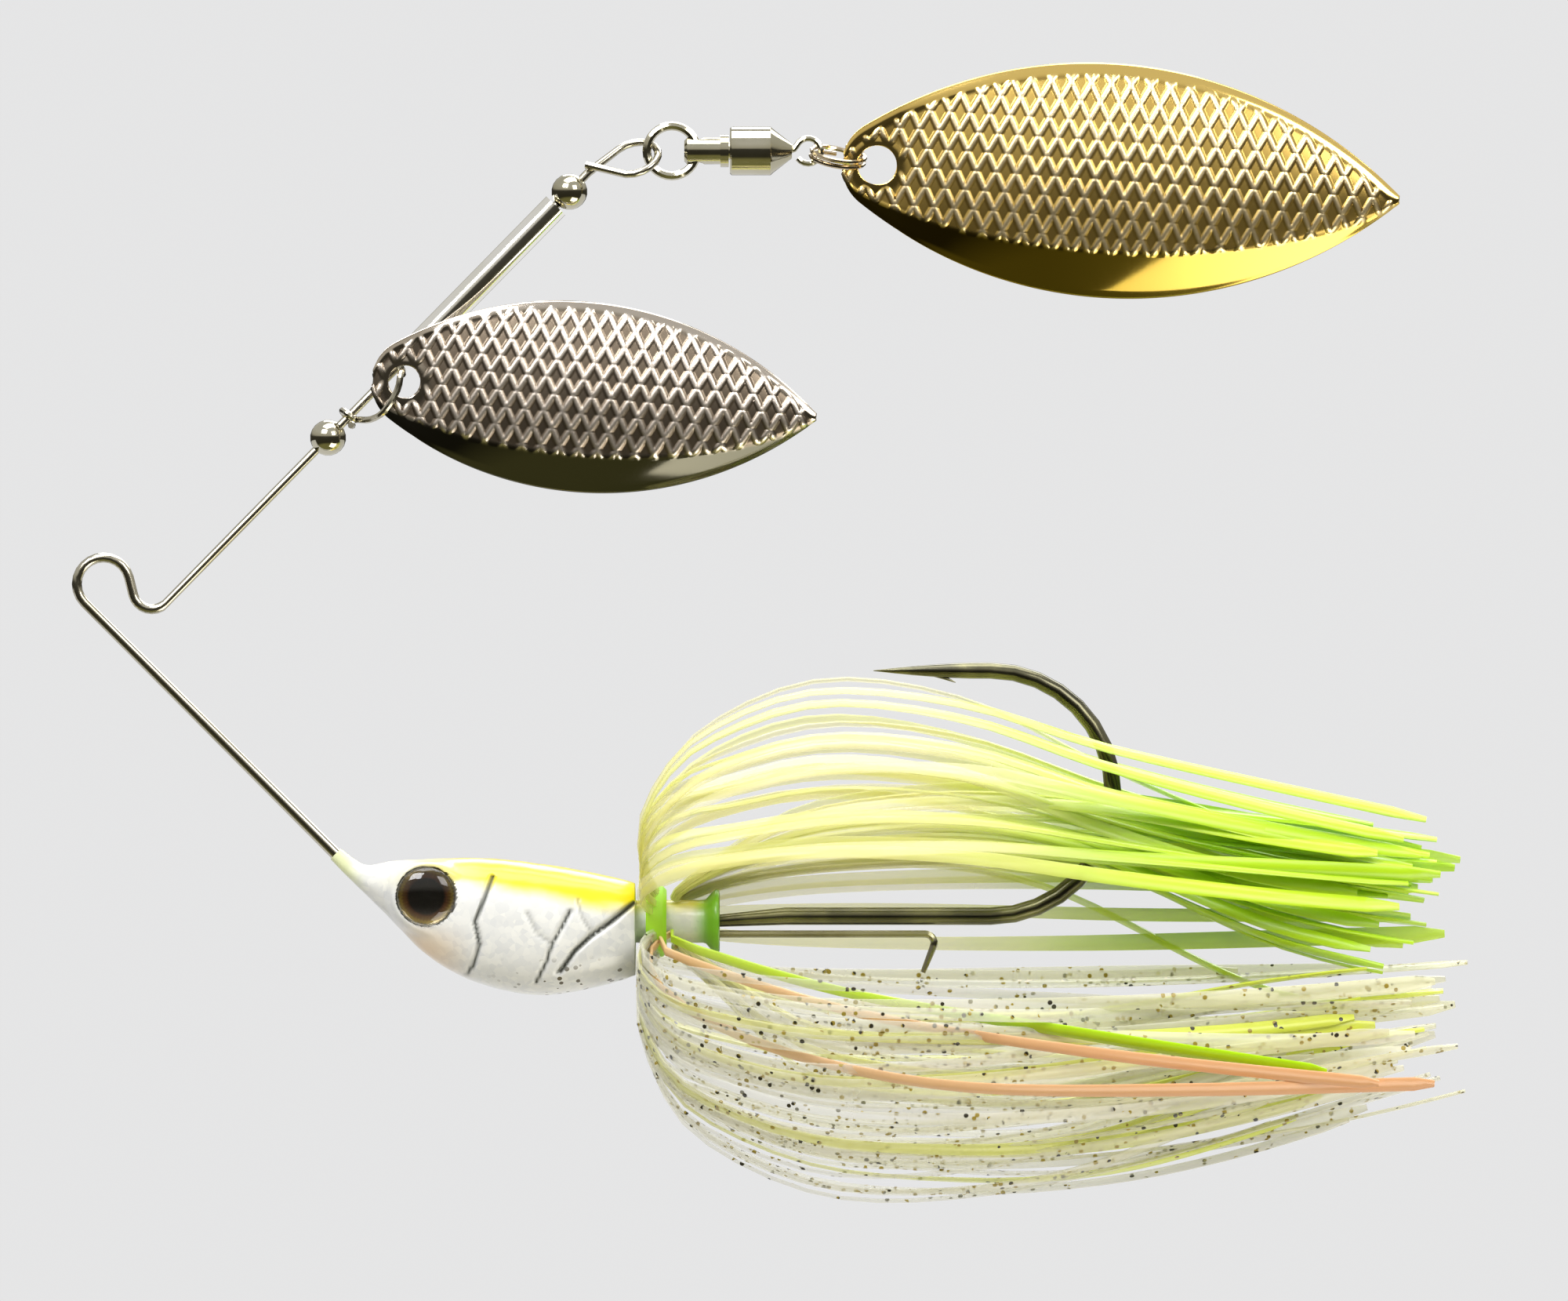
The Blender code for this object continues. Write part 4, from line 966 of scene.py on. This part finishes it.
# The photograph's middle and width at the lure, and how far off its camera stands
VIEW_CENTRE = (46.31, -4.52)
VIEW_WIDTH = 106.67
CAMERA_DISTANCE = 900.0
SENSOR_WIDTH = 36.0

# The floor's height, where its front half ends, and how far it reaches to the front, back and sides
FLOOR_LEVEL = -85.0
FLOOR_MIDDLE = -10.0
FLOOR_REACH = 600.0
FLOOR_HALF = 650.0


def stage():
    """A pale floor. Its front half is for the eye only, because the metals reflect a dark front."""
    made = Nodes("pale_paper", (0.10, 0.10, 0.10), 0.0, 0.9)
    made.shader.inputs["Emission Color"].default_value = (0.86, 0.86, 0.87, 1.0)
    made.shader.inputs["Emission Strength"].default_value = 0.72
    left, right = VIEW_CENTRE[0] - FLOOR_HALF, VIEW_CENTRE[0] + FLOOR_HALF
    halves = (("floor_front", -FLOOR_REACH, FLOOR_MIDDLE), ("floor_back", FLOOR_MIDDLE, FLOOR_REACH))
    for name, near, far in halves:
        corners = ((left, near), (right, near), (right, far), (left, far))
        points = [(x, y, FLOOR_LEVEL) for x, y in corners]
        floor = mesh_object(name, points, [(0, 1, 2, 3)], made.material)
        if name == "floor_front":
            floor.visible_diffuse = False
            floor.visible_glossy = False
            floor.visible_transmission = False
            floor.visible_shadow = False


def area_light(name, place, aim, size, power, colour=(1.0, 1.0, 1.0)):
    """A soft oblong light, aimed at a place. power is in watts."""
    data = bpy.data.lights.new(name, "AREA")
    data.shape = "RECTANGLE"
    data.size, data.size_y = size[0] * MM, size[1] * MM
    data.energy = power
    data.color = colour
    obj = bpy.data.objects.new(name, data)
    bpy.context.scene.collection.objects.link(obj)
    obj.location = metres(place)
    obj.rotation_euler = (metres(aim) - metres(place)).to_track_quat("-Z", "Y").to_euler()


def studio_world():
    """Olive below, dark at the level and bright above for the metals to reflect, and pale grey to look at."""
    world = bpy.data.worlds.new("studio")
    bpy.context.scene.world = world
    world.use_nodes = True
    tree = world.node_tree
    surroundings = tree.nodes["Background"]
    surroundings.inputs["Strength"].default_value = 0.66
    place = tree.nodes.new("ShaderNodeTexCoord")
    split = tree.nodes.new("ShaderNodeSeparateXYZ")
    ramp = tree.nodes.new("ShaderNodeValToRGB")
    shift = tree.nodes.new("ShaderNodeMath")
    shift.operation = "MULTIPLY_ADD"
    shift.inputs[1].default_value = 0.5
    shift.inputs[2].default_value = 0.5
    tree.links.new(place.outputs["Generated"], split.inputs[0])
    tree.links.new(split.outputs["Z"], shift.inputs[0])
    tree.links.new(shift.outputs[0], ramp.inputs[0])
    tree.links.new(ramp.outputs[0], surroundings.inputs["Color"])
    stops = [
        (0.0, (0.34, 0.33, 0.12)), (0.15, (0.36, 0.34, 0.13)), (0.24, (0.06, 0.055, 0.035)),
        (0.55, (0.08, 0.075, 0.06)), (0.62, (0.80, 0.77, 0.68)), (0.76, (1.0, 0.99, 0.95)),
        (1.0, (1.0, 1.0, 1.0)),
    ]
    set_stops(ramp.color_ramp, stops)
    backdrop = tree.nodes.new("ShaderNodeBackground")
    backdrop.inputs["Color"].default_value = (0.787, 0.787, 0.79, 1.0)
    seen = tree.nodes.new("ShaderNodeLightPath")
    choose = tree.nodes.new("ShaderNodeMixShader")
    tree.links.new(seen.outputs["Is Camera Ray"], choose.inputs[0])
    tree.links.new(surroundings.outputs[0], choose.inputs[1])
    tree.links.new(backdrop.outputs[0], choose.inputs[2])
    tree.links.new(choose.outputs[0], tree.nodes["World Output"].inputs["Surface"])


def lights():
    """The world and five soft lights round the lure."""
    studio_world()
    middle = (VIEW_CENTRE[0], 0.0, VIEW_CENTRE[1])
    area_light("key", (-160, -330, 330), middle, (260, 200), 1.9)
    area_light("top", (60, -20, 420), middle, (420, 260), 1.6)
    area_light("fill", (300, -330, 240), middle, (200, 200), 0.7, (1.0, 0.98, 0.94))
    area_light("low", (190, -150, -250), middle, (240, 160), 0.45, (1.0, 0.95, 0.85))
    area_light("back", (120, 260, 240), middle, (360, 160), 1.0)


def camera():
    """Level, square on to the lure's left side, and far enough off to flatten the view."""
    data = bpy.data.cameras.new("camera")
    data.sensor_fit = "HORIZONTAL"
    data.sensor_width = SENSOR_WIDTH
    data.lens = SENSOR_WIDTH * CAMERA_DISTANCE / VIEW_WIDTH
    data.clip_start = 0.01
    data.clip_end = 10.0
    obj = bpy.data.objects.new("camera", data)
    bpy.context.scene.collection.objects.link(obj)
    obj.location = metres((VIEW_CENTRE[0], -CAMERA_DISTANCE, VIEW_CENTRE[1]))
    obj.rotation_euler = (math.pi / 2, 0, 0)
    bpy.context.scene.camera = obj
    bpy.context.scene.view_settings.view_transform = "Standard"


camera()
stage()
lights()
small_parts()
head()
eyes()
blades()
skirt()
